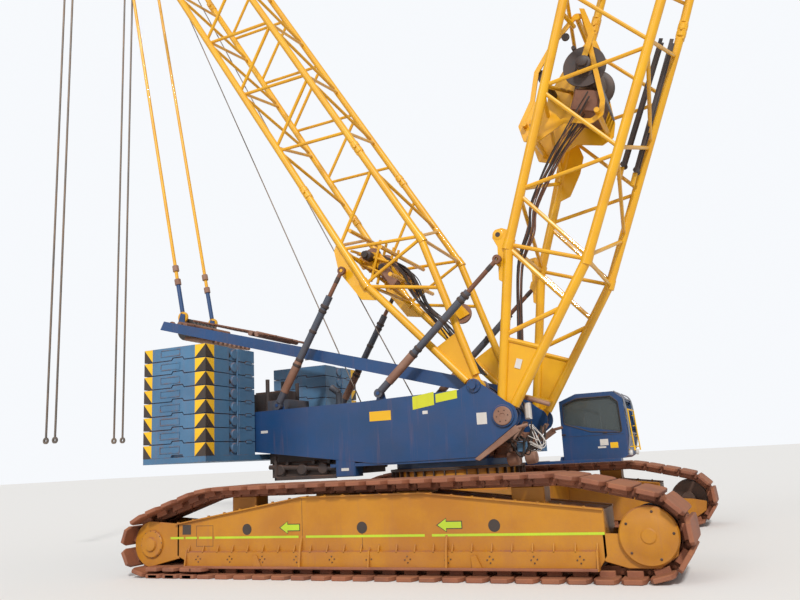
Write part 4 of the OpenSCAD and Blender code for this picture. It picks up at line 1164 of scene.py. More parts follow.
class SlewingRing:
    """The flanged ring with upright ribs under the slewing bearing, given the dark grease finish as painted
    shade.
    """

    @staticmethod
    def build() -> None:
        """Builds the ring and its bolts."""
        rings = lathe([(1.47, 1.475), (1.56, 1.475), (1.56, 1.505), (1.47, 1.52)], (0, 0, 0), UP, 96)
        upper = lathe([(1.44, 1.70), (1.54, 1.705), (1.54, 1.752), (1.44, 1.755)], (0, 0, 0), UP, 96)
        rib = box((1.44, -0.012, 1.50), (1.53, 0.012, 1.71), 0.003)
        a = np.arange(40) * math.pi / 20
        turns = np.tile(np.eye(4), (40, 1, 1))
        turns[:, 0, 0], turns[:, 0, 1] = np.cos(a), -np.sin(a)
        turns[:, 1, 0], turns[:, 1, 1] = np.sin(a), np.cos(a)
        ring = joined([rings, upper, rib.copies(turns)])
        # Painted shade: the ring and its bolts take the dark grease finish for the shade under the deck.
        piece("slewing_ring_ribs_in_painted_shade", ring, GREASE, "undercarriage", 30)
        piece("slewing_ring_bolts_in_painted_shade", bolts((0, 0, 1.50), 1.53, 56, 0.022, 0.03, UP), GREASE, "undercarriage")


@dataclass(frozen=True)
class Counterweight:
    """Stacked weights with their nubs, grips, blank frames and chevrons.

    Attributes:
        x0: Rear face.
        x1: Front face.
        y0: Inner face.
        y1: Outer face.
        z0: Underside of the lowest weight.
        rise: Height of a weight with the groove above it.
        count: Weights of a stack.
        groove: Gap between two weights.
        nub: Half length and height of the nub.
        grips: Distances of the grips from the crane's middle.
        grip: Half width of a grip.
        recess: Depth of a grip.
    """

    x0: float = -6.06
    x1: float = -4.36
    y0: float = 1.72
    y1: float = 3.54
    z0: float = 2.265
    rise: float = 0.304
    count: int = 8
    groove: float = 0.018
    nub: Pair = (0.16, 0.055)
    grips: tuple[float, ...] = (2.52,)
    grip: float = 0.19
    recess: float = 0.05

    def rows(self) -> Array:
        """Returns the matrices that move a weight, drawn over height 0, to its place in a stack."""
        return moves([(0, 0, self.z0 + k * self.rise) for k in range(self.count)])

    def outline(self, end: float, top: bool) -> list[Pair]:
        """Draws a weight over its own underside.

        Args:
            end: X of its front.
            top: The weight is the top one, which has no nub.

        Returns:
            Its corners in X and Z.
        """
        half, high = self.nub
        n, t, g = self.x0 + 0.55 * (self.x1 - self.x0), self.rise - self.groove, self.groove
        line = [(self.x0, 0), (n - half - g, 0), (n - half - g + 0.035, high), (n + half + g - 0.035, high),
                (n + half + g, 0), (end, 0), (end, t)]
        if not top:
            line += [(n + half, t), (n + half - 0.035, t + high), (n - half + 0.035, t + high),
                     (n - half, t)]
        return line + [(self.x0, t)]

    def build(self) -> None:
        """Builds both stacks, their markings and the painted shade of their grip pockets and slots."""
        edges = sorted([self.y0, self.y1] + [y + d for y in self.grips for d in (-self.grip, self.grip)])
        rows = self.rows()
        for side, s in SIDES.items():
            parts = []
            for k in range(self.count):
                for i, (a, b) in enumerate(zip(edges, edges[1:])):
                    low, high = sorted((s * a, s * b))
                    end = self.x1 - (self.recess if i % 2 else 0.0)
                    skin = slab(self.outline(end, k == self.count - 1), low, high, 0.0 if i % 2 else 0.004)
                    parts.append(skin.moved(rows[k]))
            top = self.z0 + self.count * self.rise - self.groove
            low, high = sorted((s * (self.y0 + 0.05), s * (self.y1 - 0.05)))
            parts.append(box((self.x0 + 0.12, low, self.z0 + 0.01), (self.x1 - 0.12, high, top - 0.01)))
            y = s * (self.grips[0] - self.grip + 0.03)
            parts.append(bar((self.x1 - 0.03, y, self.z0), (self.x1 - 0.03, y, top - 0.02), 0.022))
            y, x = s * self.grips[0], self.x1 - self.recess
            # Painted shade: a black triangle in each grip's recess paints the shade of its pocket, and a
            # black trapezoid behind each lip paints the shade of its slot.
            painted_shade_pocket = cross_slab([(y - 0.18, 0.03), (y - 0.18, 0.25), (y - 0.05, 0.10)], x - 0.01, x + 0.006)
            slot = cross_slab([(y + 0.40, 0.275), (y + 0.44, 0.335), (y + 0.66, 0.335), (y + 0.70, 0.275)],
                              self.x1 - 0.01, self.x1 + 0.003)
            dark = [painted_shade_pocket.copies(rows), slot.copies(rows[:-1])]
            knob = lathe([(0.115, -0.02), (0.115, 0.02), (0.10, 0.035)], (x, y + 0.05, 0.15), (1, 0, 0), 28)
            lip = cross_slab([(y + 0.42, 0.26), (y + 0.455, 0.32), (y + 0.645, 0.32), (y + 0.68, 0.26)],
                             self.x1 - 0.01, self.x1 + 0.012)
            parts += [knob.copies(rows), lip.copies(rows[:-1])]
            frames = [badge(line, s, self.y1 - 0.01, 0.022)
                      for line in rim(-5.60, 0.09, -5.06, 0.24, 0.014)]
            parts.append(joined(frames).copies(rows))
            piece(f"counterweight_stack_{side}", joined(parts), PALE_BLUE, "superstructure", 30,
                  [f"counterweight_{side}"], "weight_blue")
            piece(f"counterweight_yellow_{side}", self.chevrons(s, False), WARNING, "superstructure")
            # The black pieces hold the printed chevrons and the painted shade of the pockets and slots.
            piece(f"counterweight_black_{side}", joined([self.chevrons(s, True), *dark]), BLACK,
                  "superstructure")

    def chevrons(self, s: float, black: bool) -> Surface:
        """Makes the chevrons of one stack.

        Args:
            s: 1 on the left, -1 on the right.
            black: The black triangles; otherwise the yellow fields under them.

        Returns:
            The plates.
        """
        w, h, rise = 0.29, self.rise - self.groove - 0.004, 0.004 if black else 0.002
        y = s * self.y1
        lines = [[(a, 0.002), (b, 0.002), (a, h)] if black else [(a, 0.002), (b, 0.002), (b, h), (a, h)]
                 for a, b in ((self.x1, self.x1 - w), (self.x0, self.x0 + 0.23), (y, y - s * w))]
        parts = [badge(line, s, self.y1, rise) for line in lines[:2]]
        parts.append(cross_slab(lines[2], self.x1, self.x1 + rise))
        return joined(parts).copies(self.rows())


# Superstructure


@dataclass(frozen=True)
class Superstructure:
    """Pieces of the deck: bosses, bolts, a locker, machinery round it, hoses and blank plates.

    Attributes:
        face: Distance of the outside of the side plates from the crane's middle.
        boom_pin: X and Z of the boom's pin.
        mast_pin: X and Z of the mast's pin.
        seed: Start of the random numbers that lay the hoses.
    """

    face: float = 1.605
    boom_pin: Pair = (1.64, 2.74)
    mast_pin: Pair = (1.05, 3.41)
    seed: int = 5

    def build(self) -> None:
        """Builds every piece of the deck."""
        tanks = joined([box((1.76, -1.2, 1.99), (1.92, -0.9, 2.22), 0.02),
                        box((1.74, 0.6, 1.99), (1.90, 0.9, 2.22), 0.02)])
        lime = self.blanks([[(-0.36, 3.01), (0.14, 3.08), (0.14, 3.36), (-0.36, 3.29)],
                            [(0.18, 3.12), (0.67, 3.18), (0.67, 3.36), (0.18, 3.30)]])
        white = self.blanks([rect(-4.27, 2.74, -4.08, 2.80), rect(1.07, 2.60, 1.29, 2.84),
                             rect(-0.14, 2.90, -0.02, 2.97), rect(-2.16, 1.79, -1.97, 1.85)])
        for name, skin, finish, smooth in (
                ("deck_plates", self.plates(), BLUE, 30), ("deck_pins", self.pins(), RUSTY, 30),
                ("deck_bolts", self.heads(), DARK, 35),
                ("underslung_machinery", self.underslung(), DARK, 30)):
            piece(name, skin, finish, "superstructure", smooth)
        piece("front_machinery_drives", self.drives(), RUSTY, "superstructure", 35, ["front_machinery"],
              "machinery")
        for name, skin, finish, smooth in (
                ("front_machinery_box", box((1.98, -1.18, 2.66), (2.10, -1.0, 3.0), 0.03), WHITE, 35),
                ("front_machinery_tank", tanks, PALE_BLUE, 35), ("deck_hoses", self.hoses(), RUBBER, 60),
                ("deck_cables", self.cables(), WHITE, 60), ("tail_machinery", self.tail(), DARK, 30),
                ("tail_coolers", self.coolers(), SLATE, 30),
                ("plate_blank_yellow", self.blanks([rect(-1.41, 2.83, -0.89, 3.04)]), WARNING, 35),
                ("plate_blank_lime", lime, LEMON, 35), ("plate_blank_white", white, WHITE, 35)):
            piece(name, skin, finish, "superstructure", smooth)

    def blanks(self, outlines: Sequence[Outline]) -> Surface:
        """Returns blank plates on the right side plate, from their outlines in X and Z."""
        return joined(badge(outline, -1, self.face) for outline in outlines)

    def plates(self) -> Surface:
        """Returns the bosses on the side plates and the locker under the right one."""
        parts = []
        for s in SIDES.values():
            y = s * self.face
            (bx, bz), (mx, mz) = self.boom_pin, self.mast_pin
            boss = [(0.235, -0.02), (0.235, 0.03), (0.22, 0.045), (0.13, 0.045), (0.12, 0.03)]
            parts.append(lathe(boss, (bx, y, bz), (0, s, 0), 48))
            parts.append(lathe([(0.15, -0.02), (0.15, 0.025), (0.14, 0.035)], (mx, y, mz), (0, s, 0), 40))
        parts.append(box((-2.31, -1.60, 1.66), (-1.82, -1.2, 2.05), 0.02))
        return joined(parts)

    def pins(self) -> Surface:
        """Returns the ends of the pins of boom and mast with their keeper plates."""
        parts = []
        for s in SIDES.values():
            y = s * (self.face + 0.03)
            for (x, z), r in ((self.boom_pin, 0.195), (self.mast_pin, 0.05)):
                end = [(r, -0.02), (r, 0.03), (r - 0.012, 0.042), (0.3 * r, 0.042), (0.26 * r, 0.03)]
                parts.append(lathe(end, (x, y, z), (0, s, 0), 32))
        return joined(parts)

    def heads(self) -> Surface:
        """Returns the bolts round the bosses of boom and mast."""
        return joined(
            bolts((x, s * (self.face + stand), z), ring, count, size, height, (0, s, 0))
            for (x, z), stand, ring, count, size, height in (
                (self.boom_pin, 0.062, 0.12, 6, 0.014, 0.02), (self.mast_pin, 0.03, 0.115, 8, 0.011, 0.014))
            for s in SIDES.values())

    def underslung(self) -> Surface:
        """Returns pumps, pipes and the sump under the deck."""
        parts = [box(low, high, edge) for low, high, edge in (
            ((-4.28, -1.25, 2.02), (-2.36, 1.25, 2.34), 0.03),
            ((-4.2, -1.28, 1.70), (-2.42, 1.28, 2.05), 0.03),
            ((-4.05, -1.0, 1.69), (-3.5, 1.0, 2.1), 0.04), ((-3.1, -1.15, 1.74), (-2.4, -0.3, 2.1), 0.04),
            ((-3.2, 0.3, 1.74), (-2.45, 1.15, 2.1), 0.04))]
        parts += [bar((-4.2, y, 1.95), (-2.4, y, 1.86), 0.055, 14) for y in (-1.36, -1.2, 0.2, 1.3)]
        parts += [disc((x, -1.33, 1.87), 0.13, 0.18, 24, 0.02) for x in (-3.9, -3.3, -2.75)]
        parts += [bar((x, -1.4, 2.02), (x, 1.4, 2.02), 0.04, 12) for x in (-3.7, -3.0, -2.6)]
        parts += [box((-4.02, -1.45, 1.64), (-2.38, -1.40, 1.72), 0.01),
                  box((-4.02, -1.45, 1.64), (-3.96, -1.40, 2.2), 0.01)]
        return joined(parts)

    def drives(self) -> Surface:
        """Returns the swing drives ahead of the deck: flanged gear cases, motors and brackets."""
        parts = []
        case = [(0.235, 0.0), (0.235, 0.06), (0.19, 0.08), (0.19, 0.22), (0.21, 0.24), (0.21, 0.30),
                (0.15, 0.34), (0.15, 0.47), (0.11, 0.50), (0.11, 0.56), (0.05, 0.57)]
        motor = [(0.13, 0), (0.15, 0.02), (0.15, 0.22), (0.12, 0.26)]
        for y in (-0.72, 0.72):
            parts.append(lathe(case, (1.33, y, 1.90), UP, 40))
            parts.append(bolts((1.33, y, 1.96), 0.215, 16, 0.012, 0.016, UP))
            parts.append(lathe(motor, (1.50, y - 0.25, 1.86), (1, 0, 0.12), 28))
            parts.append(box((1.42, y - 0.12, 2.2), (1.66, y + 0.14, 2.44), 0.03))
        parts += [bar((1.98, -1.15, 3.12), (2.52, -1.15, 2.93), 0.045),
                  box((1.05, -0.9, 1.95), (1.16, 0.9, 2.35), 0.02)]
        parts += [slab([(0.98, 1.90), (1.08, 1.86), (1.98, 2.42), (1.90, 2.54)], y - 0.02, y + 0.02, 0.006)
                  for y in (-1.64, 1.64)]
        parts += [bar((1.90, y, 2.48), (2.14, y, 2.53), 0.035, 14) for y in (-1.62, 1.62)]
        parts += [bar((1.55, y, 2.1), (1.9, y + 0.2, 2.62), 0.03, 12) for y in (-1.1, -0.9, 0.8, 1.0)]
        return joined(parts)

    def hoses(self) -> Surface:
        """Returns the hoses between deck, boom foot and mast foot: splines that sag between two clamps."""
        rng = np.random.default_rng(self.seed)
        parts = []
        for k in range(16):
            y = -1.05 + 0.14 * k + rng.uniform(-0.03, 0.03)
            start = np.array((0.55, y, 2.95))
            end = np.array((1.35 + rng.uniform(0, 0.2), y * 0.9, 2.7 + rng.uniform(0, 0.35)))
            top = np.array((0.95 + rng.uniform(-0.1, 0.15), y, 3.30 + rng.uniform(-0.1, 0.18)))
            parts.append(hose(spline([start, start + (0.15, 0, 0.25), top, end + (-0.1, 0, 0.2), end], 6),
                              rng.choice((0.018, 0.024, 0.03)), 8))
        for k in range(12):
            y = -1.25 + 0.1 * k + rng.uniform(-0.03, 0.03)
            start = np.array((1.45, y, 2.35 + rng.uniform(-0.1, 0.3)))
            end = np.array((1.95 + rng.uniform(-0.1, 0.25), y + rng.uniform(-0.2, 0.1),
                            1.95 + rng.uniform(0, 0.4)))
            dip = (start + end) / 2 + (0.1, 0, -rng.uniform(0.1, 0.35))
            parts.append(hose(spline([start, dip, end, end + (0.05, 0, 0.3)], 7),
                              rng.choice((0.014, 0.02, 0.026)), 8))
        return joined(parts)

    def cables(self) -> Surface:
        """Returns pale electric cables that hang ahead of the deck."""
        rng = np.random.default_rng(self.seed + 1)
        parts = []
        for k in range(7):
            start = np.array((2.05, -1.15 + 0.05 * k, 2.55))
            end = np.array((2.2 + rng.uniform(-0.15, 0.2), -1.2 + rng.uniform(-0.1, 0.2),
                            2.0 + rng.uniform(0, 0.25)))
            dip = (start + end) / 2 + (rng.uniform(0, 0.2), 0, -rng.uniform(0, 0.25))
            parts.append(hose(spline([start, dip, end, end + (-0.2, 0, 0.1)], 7), 0.008, 6))
        return joined(parts)

    def tail(self) -> Surface:
        """Returns dark machinery on the deck under the A-frame: cases, pipes and posts."""
        parts = [box((-5.9, -1.0, 2.85), (-4.4, 1.0, 3.15), 0.03),
                 box((-5.6, -0.9, 3.1), (-4.9, -0.2, 3.75), 0.04),
                 box((-5.6, 0.1, 3.1), (-4.7, 0.9, 3.9), 0.04)]
        parts += [bar((-4.6, y, 2.9), (-4.6, y, 4.1), 0.05, 14) for y in (-0.8, -0.1, 0.6)]
        parts += [bar((-5.4, y, 3.4), (-4.2, y, 3.0), 0.045, 14) for y in (-1.0, -0.5, 0.3)]
        return joined(parts)

    def coolers(self) -> Surface:
        """Returns two finned coolers and the exhaust on the deck."""
        fin = box((-0.30, -0.01, -0.30), (0.30, 0.01, 0.30), 0.0035)
        parts = [fin.copies(moves([(-5.2, 0.12 + 0.04 * k, 3.55) for k in range(18)])),
                 fin.copies(moves([(-4.2, -0.95 + 0.05 * k, 3.25) for k in range(20)]))]
        parts.append(bar((-3.4, 0.7, 2.85), (-3.4, 0.7, 3.75), 0.09, 24))
        parts.append(bar((-3.4, 0.7, 3.75), (-3.62, 0.7, 3.92), 0.085, 24))
        return joined(parts)


@dataclass(frozen=True)
class Drum:
    """A winch drum with its rope windings and ribbed flanges, round the axis of its own joint.

    Attributes:
        name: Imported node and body.
        half: Half the width between the flanges.
        core: Radius of the top layer of rope.
        flange: Radius of the flanges.
        turns: Turns of rope that show.
    """

    name: str
    half: float
    core: float
    flange: float
    turns: int

    def build(self) -> None:
        """Builds windings and flanges: turn t lies at core + 0.012 (|sin(pi t)| to the power 0.7 - 1)."""
        low, high = (np.array(v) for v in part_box(self.name))
        centre = (low + high) / 2
        t = np.linspace(0, self.turns, self.turns * 8 + 1)
        wave = np.abs(np.sin(math.pi * t)) ** 0.7 * 0.012
        profile = np.stack([self.core - 0.012 + wave, -self.half + 2 * self.half * t / self.turns], axis=1)
        piece(f"{self.name}_windings", lathe(profile, centre, ACROSS, 56), STEEL, self.name, 40)
        r = self.flange
        flange = [(self.core - 0.02, 0.0), (r, 0.0), (r + 0.012, 0.01), (r + 0.012, 0.04), (r, 0.05),
                  (r - 0.05, 0.05), (r - 0.06, 0.03), (0.2, 0.03), (0.18, 0.07), (0.06, 0.08)]
        parts = []
        for s in SIDES.values():
            y = centre[1] + s * self.half
            parts.append(lathe(flange, (centre[0], y, centre[2]), (0, s, 0), 64))
            parts.append(bolts((centre[0], y + s * 0.03, centre[2]), 0.24, 16, 0.014, 0.02, (0, s, 0)))
        piece(f"{self.name}_flanges", joined(parts), GREASE, self.name, 40)


@dataclass(frozen=True)
class AFrame:
    """Sheaves at the tip of the A-frame, its grating, rolls, pin ends and a blank plate.

    Attributes:
        pivot: X and Z of its pin.
        tip: X and Z of its tip pin.
        half: Half the width between its beams' outer faces.
    """

    pivot: Pair = (1.05, 3.41)
    tip: Pair = (-7.40, 5.74)
    half: float = 1.07

    def build(self) -> None:
        """Builds every piece of the frame."""
        tx, tz = self.tip
        groove = mirrored([(0.05, -0.035), (0.29, -0.035), (0.30, -0.03), (0.255, -0.008)])
        sheaves = [lathe(groove, (tx, y, tz), ACROSS, 48) for y in np.linspace(-0.45, 0.45, 7)]
        piece("a_frame_sheaves", joined(sheaves), NYLON, "a_frame", 40)
        a = math.atan2(tz - self.pivot[1], tx - self.pivot[0])
        way = np.array((math.cos(a), math.sin(a)))
        length = math.hypot(tx - self.pivot[0], tz - self.pivot[1])
        parts = []
        for d in np.arange(length - 3.0, length - 0.45, 0.16):
            x, z = np.array(self.pivot) + d * way + 0.25 * np.array((way[1], -way[0]))
            parts.append(bar((x, -self.half + 0.1, z), (x, self.half - 0.1, z), 0.016, 8))
        for y in (-0.75, 0.0, 0.75):
            p, q = (np.array(self.pivot) + d * way + 0.27 * np.array((way[1], -way[0]))
                    for d in (length - 3.1, length - 0.4))
            parts.append(bar((p[0], y, p[1]), (q[0], y, q[1]), 0.025, 10))
        piece("a_frame_grating", joined(parts), ROD, "a_frame", 40)
        rolls = []
        for d in (0.15, 0.34, 2.4, 2.6):
            x, z = tx + d, tz + 0.10 - 0.22 * d
            rolls.append(bar((x, -self.half + 0.12, z), (x, self.half - 0.12, z), 0.07, 14))
        rolls += [bar((tx + 0.25, y, tz - 0.32), (tx + 1.15, y, tz - 0.50), 0.055, 12)
                  for y in np.linspace(-0.8, 0.8, 9)]
        piece("a_frame_rolls", joined(rolls), RUSTY, "a_frame", 40)
        end = [(0.11, -0.01), (0.11, 0.03), (0.09, 0.045)]
        ends = [lathe(end, (tx + 0.02, s * self.half, tz + 0.02), (0, s, 0), 28) for s in SIDES.values()]
        piece("a_frame_pin", joined(ends), ROD, "a_frame", 40)
        blank = badge(rect(-3.30, 4.42, -3.16, 4.56), -1, self.half + 0.06, 0.004)
        piece("a_frame_plate_blank", blank, WHITE, "a_frame")


# Cab


@dataclass(frozen=True)
class Cab:
    """Dress of the cab: seals, rails, lamps, blank plates and the inside.

    Attributes:
        origin: Lower rear inner corner of the cab.
        width: Its width.
    """

    origin: Triple = (2.08, 1.76, 1.745)
    width: float = 1.4

    def made(self, name: str, parts: Iterable[Surface], finish: Finish, smooth: float = 35.0,
             replaced: Sequence[str] = (), slot: str = "") -> bpy.types.Object:
        """Makes a piece from surfaces that are drawn from the cab's lower rear inner corner."""
        skin = joined(parts).moved(moves([self.origin])[0])
        return piece(name, skin, finish, "cab", smooth, replaced, slot)

    def build(self) -> None:
        """Builds every piece of the cab."""
        self.made("cab_seals", self.seals(), BLACK)
        self.made("cab_rails", self.rails(), WARNING, 40)
        self.made("cab_front_frame", self.front(), GREY, 40)
        grip = spline([(1.38, 0.2, 0.58), (1.52, 0.35, 0.9), (1.45, 0.55, 1.2)], 6)
        handles = [box((a, -0.025, 0.59), (b, -0.002, 0.62), 0.004) for a, b in ((0, 0.10), (0.98, 1.08))]
        self.made("cab_handles", [*handles, hose(grip, 0.012)], BLACK)
        plates = [badge(rect(*line), 1, -0.004) for line in (
            (0.89, 0.31, 1.08, 0.455), (0.83, 0.25, 1.02, 0.29), (1.12, 0.24, 1.30, 0.37))]
        self.made("cab_plates_white", plates[:2], WHITE)
        self.made("cab_plates_yellow", plates[2:], WARNING)
        self.made("cab_lamps", self.lamps(), WHITE, 40)
        self.made("cab_inside", self.inside(), DARK, 35)
        seat = self.made("cab_cushions", self.cushions(), FABRIC, 50, ["cab_seat"], "seat_fabric")

    def seals(self) -> list[Surface]:
        """Returns the rubber round the window of the inner side and dark joints of its panels."""
        window = rounded([(0.08, 0.86), (0.70, 0.64), (1.42, 0.59), (1.385, 1.31), (1.235, 1.45),
                          (0.43, 1.45), (0.08, 1.32)], 0.06)
        path = np.stack([window[:, 0], np.full(len(window), -0.002), window[:, 1]], axis=1)
        ring = sweep(np.concatenate([path, path[:1]]), circle(0.013, 6), ACROSS)
        return [ring, badge(rect(0.01, 0.55, 1.45, 0.556), 1, -0.004)]

    def rails(self) -> list[Surface]:
        """Returns yellow handrails and a step ahead of the cab."""
        parts = []
        for y in (0.18, self.width - 0.18):
            for x in (1.50, 1.62):
                parts.append(bar((x + 0.02, y, 0.16), (x - 0.05, y, 1.13), 0.017, 12))
            parts += [bar((1.52, y, z), (1.64 - 0.06 * z, y, z), 0.013, 10) for z in (0.25, 0.5, 0.75, 1.0)]
        parts.append(self.across(1.57, 1.12, 0.18, 0.017, 12))
        return parts

    def across(self, x: float, z: float, gap: float, radius: float, sides: int) -> Surface:
        """Makes a bar across the cab.

        Args:
            x: How far ahead of the cab's rear it lies.
            z: How far above the cab's underside it lies.
            gap: Distance from its ends to the cab's sides.
            radius: Its radius.
            sides: Steps round it.

        Returns:
            The bar.
        """
        return bar((x, gap, z), (x, self.width - gap, z), radius, sides)

    def front(self) -> list[Surface]:
        """Returns the frame of the front window in two lines and the sill under it."""
        parts = []
        for y in (0.035, 0.11, self.width - 0.11, self.width - 0.035):
            line = spline([(1.525, y, 0.20), (1.575, y, 0.56), (1.518, y, 1.36), (1.31, y, 1.563)], 6)
            parts.append(hose(line, 0.016, 8))
        parts += [self.across(1.58, 0.56, 0.03, 0.016, 10), self.across(1.515, 1.38, 0.03, 0.016, 10)]
        return parts

    def lamps(self) -> list[Surface]:
        """Returns two work lamps under the front sill."""
        shape = [(0.03, 0.0), (0.055, 0.02), (0.065, 0.07), (0.06, 0.085), (0.02, 0.095)]
        return [lathe(shape, (1.50, y, 0.12), (1, 0, -0.1), 24) for y in (0.12, self.width - 0.12)]

    def inside(self) -> list[Surface]:
        """Returns consoles, levers, a screen and the floor mat."""
        m = self.width / 2
        parts = [box((0.1, 0.08, 0.045), (1.35, self.width - 0.08, 0.06), 0.004)]
        lever = [(0.03, 0), (0.012, 0.03), (0.012, 0.12), (0.028, 0.15), (0.026, 0.2), (0.01, 0.215)]
        for s in (-1, 1):
            low, high = sorted((m + s * 0.32, m + s * 0.48))
            parts.append(box((0.42, low, 0.35), (0.95, high, 0.68), 0.03))
            parts.append(lathe(lever, (0.85, m + s * 0.4, 0.67), (0.1, 0, 1), 16))
        parts += [box((1.28, m - 0.35, 0.70), (1.33, m - 0.05, 0.92), 0.01),
                  bar((1.31, m - 0.2, 0.06), (1.31, m - 0.2, 0.75), 0.02, 12),
                  box((1.05, m - 0.25, 0.06), (1.25, m - 0.1, 0.14), 0.02),
                  box((1.05, m + 0.1, 0.06), (1.25, m + 0.25, 0.14), 0.02)]
        return parts

    def cushions(self) -> list[Surface]:
        """Returns the seat: cushion, back, head rest and arm rests on a pedestal."""
        m = self.width / 2
        parts = [self.pad((0.68, m, 0.44), (0.24, 0.245, 0.075), 5),
                 self.pad((0.52, m, 0.74), (0.07, 0.235, 0.29), 9),
                 self.pad((0.475, m, 1.04), (0.05, 0.13, 0.065), 9)]
        parts += [self.pad((0.70, m + s * 0.225, 0.50), (0.2, 0.02, 0.045), 5) for s in (-1, 1)]
        pedestal = [(0.20, 0), (0.20, 0.03), (0.10, 0.06), (0.10, 0.28), (0.18, 0.31)]
        parts.append(lathe(pedestal, (0.70, m, 0.06), UP, 24))
        return parts

    @staticmethod
    def pad(centre: Vector, half: Vector, lean: float) -> Surface:
        """Makes a cushion: P(u, v) = half (c(v) c(u), c(v) s(u), s(v)), c and s being cos and sin to 0.45.

        Args:
            centre: Its middle.
            half: Half of its sizes.
            lean: Rise of its front, in degrees.

        Returns:
            The closed skin.
        """
        u = np.arange(40) * math.pi / 20
        v = np.linspace(-math.pi / 2 + 0.02, math.pi / 2 - 0.02, 17)
        around, up = (np.sign(w) * np.abs(w) ** 0.45 for w in (np.stack([np.cos(u), np.sin(u)]),
                                                               np.stack([np.cos(v), np.sin(v)])))
        rings = np.stack([up[0][:, None] * around[0], up[0][:, None] * around[1],
                          np.repeat(up[1][:, None], len(u), axis=1)], axis=-1) * np.asarray(half)
        return loft(rings).moved(leaning(centre, lean))


# Boom, mast and rigging


@dataclass(frozen=True)
class Stops:
    """Collars, clamp rings and sleeves of a pair of telescopic stops.

    Attributes:
        pair: Start of the names of its barrels' and its rods' nodes.
        base: X and Z of the pins on the deck.
        radius: Radius of the barrels.
    """

    pair: str
    base: Pair
    radius: float = 0.085

    def build(self) -> None:
        """Builds the rings of barrels and rods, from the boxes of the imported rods."""
        _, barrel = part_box(f"{self.pair}_barrels")
        _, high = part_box(f"{self.pair}_rods")
        eye = np.array((high[0] - 0.095, 0.0, high[2] - 0.095))
        base = np.array((self.base[0], 0.0, self.base[1]))
        axis = (eye - base) / np.linalg.norm(eye - base)
        reach = float(np.linalg.norm(eye - base))
        y = barrel[1] - self.radius
        collars, sleeves, rods = [], [], []
        for s in SIDES.values():
            at = base + (0, s * y, 0)
            for share, grow in ((0.30, 0.022), (0.34, 0.012), (0.55, 0.010), (0.70, 0.014), (0.735, 0.022)):
                r = self.radius + grow
                ring = mirrored([(r - 0.01, -0.035), (r, -0.025)])
                ring += [(self.radius - 0.01, 0.035), (self.radius - 0.01, -0.035)]
                collars.append(lathe(ring, at + share * reach * axis, axis, 32, True))
            r = self.radius + 0.012
            tube = [(r, 0.0), (r, 0.8), (r - 0.03, 0.81), (r - 0.03, 0.01)]
            sleeves.append(lathe(tube, at + 0.35 * axis, axis, 32, True))
            knuckle = [(0.053, -0.06), (0.056, -0.04), (0.056, 0.07), (0.053, 0.09)]
            rods.append(lathe(knuckle, at + (reach - 0.26) * axis, axis, 28))
        piece(f"{self.pair}_collars", joined(collars), DARK, f"{self.pair}_barrels", 30)
        piece(f"{self.pair}_sleeves", joined(sleeves), RUSTY, f"{self.pair}_barrels", 30)
        piece(f"{self.pair}_knuckles", joined(rods), DARK, f"{self.pair}_rods", 30)


